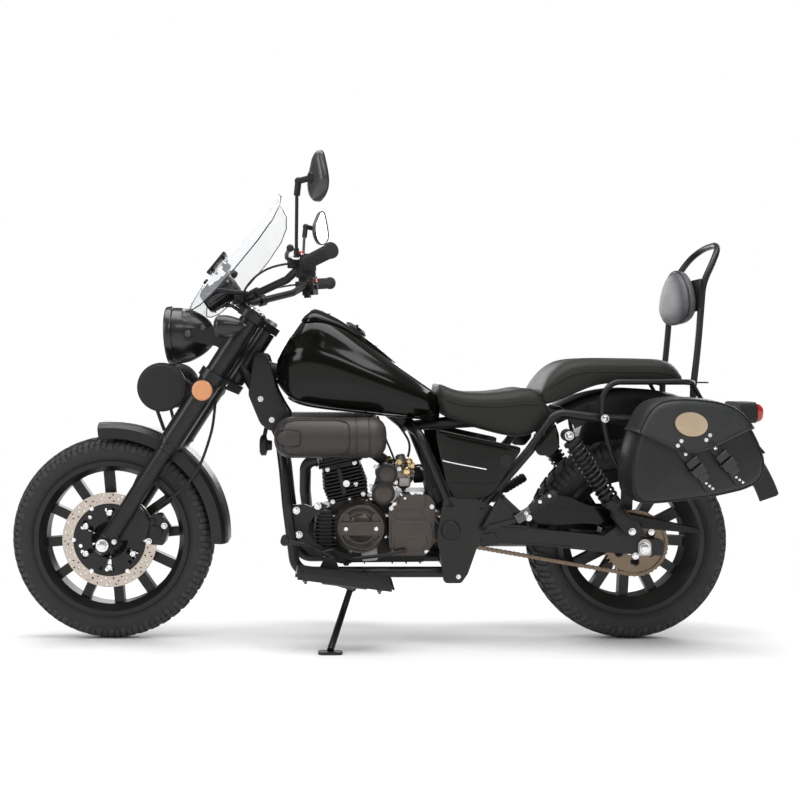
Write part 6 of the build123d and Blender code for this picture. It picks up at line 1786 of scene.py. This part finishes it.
dust = [turned_ring(on_leg(325, 0, -LEG_OUT), UP_FORK, [(-2, 24), (0, 30), (7, 31), (13, 30), (14, 24)], 40),
        turned_ring(on_leg(12, 0, -LEG_OUT), UP_FORK, [(0, 23), (2, 25.2), (8, 25.2), (10, 23)], 40),
        turned_ring(on_leg(337, 0, -LEG_OUT), UP_FORK, [(0, 28), (1, 34), (8, 34), (10, 32.6)], 48),
        turned_ring(on_leg(540, 0, -LEG_OUT), UP_FORK, [(0, 32.6), (1, 34.2), (5, 34.2), (5, 30)], 48)]
piece("fork_collars", pair(*dust), "front_end", "frame_black")
axle = [hex_bolt((FRONT_AXLE.x, -136, FRONT_AXLE.z), LEFT, 22, 14),
        hex_bolt((FRONT_AXLE.x, 136, FRONT_AXLE.z), RIGHT, 22, 8),
        hex_bolt((FRONT_AXLE.x + 30, -124, FRONT_AXLE.z + 8), LEFT, 9, 5)]
piece("front_axle_nuts", axle, "front_end", "axle_steel", SILVER)
calliper = [lathe((-612, -82, 322), LEFT, [(0, 19), (6, 19), (8, 16), (8, 0.01)], 36),
            lathe((-622, -82, 352), LEFT, [(0, 10), (5, 10), (6, 8), (6, 0.01)], 28),
            brick((-640, -80, 326), (12, 8, 46), (1, 0, 0.2)), rod((-600, -90, 368), (-600, -60, 368), 6)]
piece("caliper_shapes", calliper, "front_end", "matte_black", bevel=1.4)
bolts = bolt_row([(-632, 296), (-588, 340)], -83.5, 11, 6) + [hex_bolt((-614, -62, 372), UP, 10, 5)]
piece("caliper_bolts", bolts, "front_end", "matte_black", SILVER)


# -------- cables and hoses
def cable(name, route, radius, body, material):
    """A cord along one smooth curve through a given route."""
    curve = bpy.data.curves.new(name, "CURVE")
    curve.dimensions = "3D"
    line = curve.splines.new("NURBS")
    line.points.add(len(route) - 1)
    for spot, at in zip(line.points, route):
        spot.co = (*(PARKED @ Vector(at)), 1.0)
    line.order_u = 3
    line.use_endpoint_u = True
    curve.resolution_u = 12
    curve.bevel_depth = radius / 1000
    curve.bevel_resolution = 3
    curve.use_fill_caps = True
    obj = bpy.data.objects.new(name, curve)
    bpy.context.scene.collection.objects.link(obj)
    curve.materials.append(material)
    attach(obj, body)
    return obj


HOSE_ROUTE = [(-615, -62, 371), (-612, -62, 392), (-574, -74, 416), (-525, -86, 452), (-488, -88, 505),
              (-464, -86, 570), (-446, -78, 640), on_leg(543, 16, -62)]
hose = cable("front_brake_hose", HOSE_ROUTE, 4.0, "front_end", GRIP_RUBBER)
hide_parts("brake_hose")
CABLE_ROUTE = [on_grip(-6, 36, 2), (-262, -268, 1057), (-312, -215, 1040), (-350, -150, 1012),
               (-366, -95, 985), (-352, -72, 960), on_leg(776, 0, -66)]
for name, flip in (("clutch_cable", 1), ("throttle_cable", -1)):
    cable(name, [Vector((x, y * flip, z)) for x, y, z in CABLE_ROUTE], 3.0, "front_end",
          GRIP_RUBBER)
cable("breather_hose", [(120, -30, 500), (150, -60, 520), (160, -80, 470), (150, -90, 420), (140, -80, 380)],
      3.2, "chassis", GRIP_RUBBER)
cable("fuel_hose", [(110, -20, 530), (118, -34, 560), (100, -50, 600), (60, -40, 650)], 3.4, "chassis",
      GRIP_RUBBER)
cable("carburettor_cable", [(70, -40, 520), (60, -60, 545), (40, -66, 590), (20, -50, 650)], 3.0, "chassis",
      GRIP_RUBBER)
cable("carburettor_drain", [(98, -14, 432), (96, -24, 400), (112, -40, 360), (120, -50, 300),
                            (124, -56, 236)], 3.0, "chassis", GRIP_RUBBER)

# -------- rack and tail lens
RAIL_HEIGHT, RACK_HALF, STAY_HALF = 750.0, 158, 165.7
rack = []
for side in BOTH:
    rack.append(tube([(631, side * RACK_HALF, 643), (631, side * RACK_HALF, 715),
                      (659, side * RACK_HALF, RAIL_HEIGHT), (878, side * RACK_HALF, RAIL_HEIGHT),
                      (904, side * 106, 740)], 30, 8, 18))
    rack.append(tube([(631, side * RACK_HALF, 664), (640, side * STAY_HALF, 600),
                      (664, side * STAY_HALF, 520), (720, side * STAY_HALF, 480),
                      (930, side * STAY_HALF, 500), (935, side * STAY_HALF, 570), (935, side * 152, 650),
                      (880, side * 153, 748)], 30, 6, 16))
    rack.append(brick((914, side * 122, 748), (40, 26, 4)))
    rack += [rod((631, side * RACK_HALF, 651), (631, side * 147.4, 651), 6),
             rod((905, side * 106, 745), (902, side * 106, 615), 9),
             rod((902, side * 106, 620), (902, side * 120.6, 620), 7)]
ARCH_HALF = [(904, -106, 732), (918, -106, 854), (932, -106, 1027), (958, -105, 1082), (984, -84, 1124),
             (1002, -40, 1145)]
arch = ARCH_HALF + [(x, -y, z) for x, y, z in reversed(ARCH_HALF)]
rack += [tube(arch, 60, 9, 20, 8), rod((906, -106, 748), (906, 106, 748), 8)]
rack.append(brick((922, 0, 994), (4, 230, 90)))
bars = piece("rack_tubes", rack, "chassis", "frame_black")
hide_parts("rack_and_sissy_bar")

LENS_OUTLINE = [(-46, -29), (46, -29), (46, 29), (-46, 29)]
lens_ring = evened(rounded(LENS_OUTLINE, 28, 6), 48)
lens_rows = [[Vector((1118 + ahead, p.x * size, 659 + p.y * size)) for p in lens_ring] for ahead,
             size in ((0, 1.0), (7, 1.0), (12, 0.97), (17, 0.90), (21, 0.78), (24, 0.60),
                      (26, 0.36), (26.6, 0.12))]
lens = piece("tail_lens_dome", loft(lens_rows), "chassis", "lens_red")
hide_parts("tail_lens")

# -------- footboard plates and peg brackets
board = [plate(rounded([(-209, 241), (-209, 249), (-203, 251.5), (44, 219.5), (51, 214), (51, 206), (44, 210),
                        (-203, 242)], 2), -270, -172)]
for y0 in (-270, -178):
    board.append(plate([(-203, 243), (44, 211), (44, 203), (-203, 235)], y0, y0 + 6))
board += [plate(rounded([(-150, 236), (-128, 282), (-108, 282), (-88, 230)], 6), -182, -176),
          rod((-120, -174, 226), (-120, -110.3, 216), 9), rod((-20, -174, 214), (-20, -110.3, 212), 9),
          rod((-120, -176, 228), (-120, -255, 232), 9), rod((-20, -176, 214), (-20, -255, 216), 9)]
board.append(plate(rounded([(352, 444), (422, 378), (296, 343)], 8), -171.5, -167.5))
frame_corners = [Vector((x, -169, z)) for x, z in ((352, 437), (414, 379), (303, 350))]
for a, b in zip(frame_corners, frame_corners[1:] + frame_corners[:1]):
    board.append(brick((a + b) / 2, ((b - a).length + 14, 12, 15), b - a, LEFT))
board += [rod((308, -168, 353), (308, -156.3, 353), 8), rod(PEG_ROOT, PEG_TIP, 9)]
boards = piece("footboards", pair(*board), "chassis", "frame_black", bevel=1)
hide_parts("footrests")

# -------- stage
FLOOR_SIZE = 30.0
WHITE = (1, 1, 1, 1)
floor_mesh = bpy.data.meshes.new("floor")
floor_mesh.from_pydata([(-FLOOR_SIZE, -FLOOR_SIZE, 0), (FLOOR_SIZE, -FLOOR_SIZE, 0),
                        (FLOOR_SIZE, FLOOR_SIZE, 0), (-FLOOR_SIZE, FLOOR_SIZE, 0)], [], [(0, 1, 2, 3)])
floor = bpy.data.objects.new("floor", floor_mesh)
bpy.context.scene.collection.objects.link(floor)
floor_look = bpy.data.materials.new("pale_floor")
floor_look.use_nodes = True
nodes, links = floor_look.node_tree.nodes, floor_look.node_tree.links
shader = nodes["Principled BSDF"]
set_inputs(shader, Base_Color=(0.86, 0.86, 0.86, 1), Roughness=0.7, Specular_IOR_Level=0.15)
far_white = set_inputs(nodes.new("ShaderNodeEmission"), Color=WHITE)
place = nodes.new("ShaderNodeNewGeometry")
away = nodes.new("ShaderNodeVectorMath")
away.operation = "LENGTH"
links.new(place.outputs["Position"], away.inputs[0])
fade = nodes.new("ShaderNodeMapRange")
fade.interpolation_type = "SMOOTHERSTEP"
set_inputs(fade, From_Min=1.0, From_Max=2.6)
links.new(away.outputs["Value"], fade.inputs["Value"])
blend = nodes.new("ShaderNodeMixShader")
links.new(fade.outputs["Result"], blend.inputs["Fac"])
links.new(shader.outputs["BSDF"], blend.inputs[1])
links.new(far_white.outputs["Emission"], blend.inputs[2])
links.new(blend.outputs["Shader"], nodes["Material Output"].inputs["Surface"])
floor_mesh.materials.append(floor_look)

world = bpy.data.worlds.new("studio")
bpy.context.scene.world = world
world.use_nodes = True
nodes, links = world.node_tree.nodes, world.node_tree.links
nodes.clear()
out = nodes.new("ShaderNodeOutputWorld")
seen = set_inputs(nodes.new("ShaderNodeBackground"), Color=WHITE, Strength=1.0)
fill = set_inputs(nodes.new("ShaderNodeBackground"), Color=WHITE, Strength=0.30)
path = nodes.new("ShaderNodeLightPath")
place = nodes.new("ShaderNodeTexCoord")
split = nodes.new("ShaderNodeSeparateXYZ")
links.new(place.outputs["Generated"], split.inputs["Vector"])
sky = set_inputs(nodes.new("ShaderNodeMapRange"), From_Min=0.0, From_Max=0.8, To_Min=0.10, To_Max=0.34)
links.new(split.outputs["Z"], sky.inputs["Value"])
mirror_fill = nodes.new("ShaderNodeBackground")
links.new(sky.outputs["Result"], mirror_fill.inputs["Strength"])
gloss = nodes.new("ShaderNodeMixShader")
links.new(path.outputs["Is Glossy Ray"], gloss.inputs["Fac"])
links.new(fill.outputs["Background"], gloss.inputs[1])
links.new(mirror_fill.outputs["Background"], gloss.inputs[2])
mix = nodes.new("ShaderNodeMixShader")
links.new(path.outputs["Is Camera Ray"], mix.inputs["Fac"])
links.new(gloss.outputs["Shader"], mix.inputs[1])
links.new(seen.outputs["Background"], mix.inputs[2])
links.new(mix.outputs["Shader"], out.inputs["Surface"])


def softbox(name, at, target, size, power):
    """A rectangular lamp in metres and watts, turned towards a target."""
    lamp = bpy.data.lights.new(name, "AREA")
    lamp.shape = "RECTANGLE"
    lamp.size, lamp.size_y = size
    lamp.energy = power
    holder = bpy.data.objects.new(name, lamp)
    holder.location = at
    holder.rotation_mode = "QUATERNION"
    holder.rotation_quaternion = (Vector(target) - Vector(at)).to_track_quat("-Z", "Y")
    bpy.context.scene.collection.objects.link(holder)


softbox("top_softbox", (-0.2, -0.6, 3.4), (0, 0, 0.5), (4.0, 2.0), 120)
softbox("front_softbox", (-3.2, -2.2, 2.0), (-0.2, 0, 0.5), (1.4, 2.0), 46)
softbox("side_softbox", (0.8, -3.2, 2.6), (0.1, 0, 0.5), (3.2, 0.7), 34)
softbox("rear_softbox", (3.0, 1.8, 2.2), (0.2, 0, 0.5), (2.0, 2.0), 60)
softbox("far_softbox", (-0.6, 3.2, 2.0), (0, 0, 0.5), (3.0, 1.6), 60)

# -------- camera
EYE_AT = (-0.191, -2.316, 0.404)
eye = bpy.data.cameras.new("camera")
camera = bpy.data.objects.new("camera", eye)
bpy.context.scene.collection.objects.link(camera)
bpy.context.scene.camera = camera
eye.sensor_width = 36.0
eye.lens = 36.7
eye.shift_x, eye.shift_y = 0.09, -0.04
eye.clip_start, eye.clip_end = 0.05, 60
look = Vector((0, math.cos(LEAN), math.sin(LEAN)))
top = Vector((0, -math.sin(LEAN), math.cos(LEAN)))
side = look.cross(top)
turn = Matrix((side, top, -look)).transposed()
camera.matrix_world = Matrix.Translation(EYE_AT) @ turn.to_4x4()

scene = bpy.context.scene
scene.view_settings.view_transform = "Standard"
scene.view_settings.look = "None"
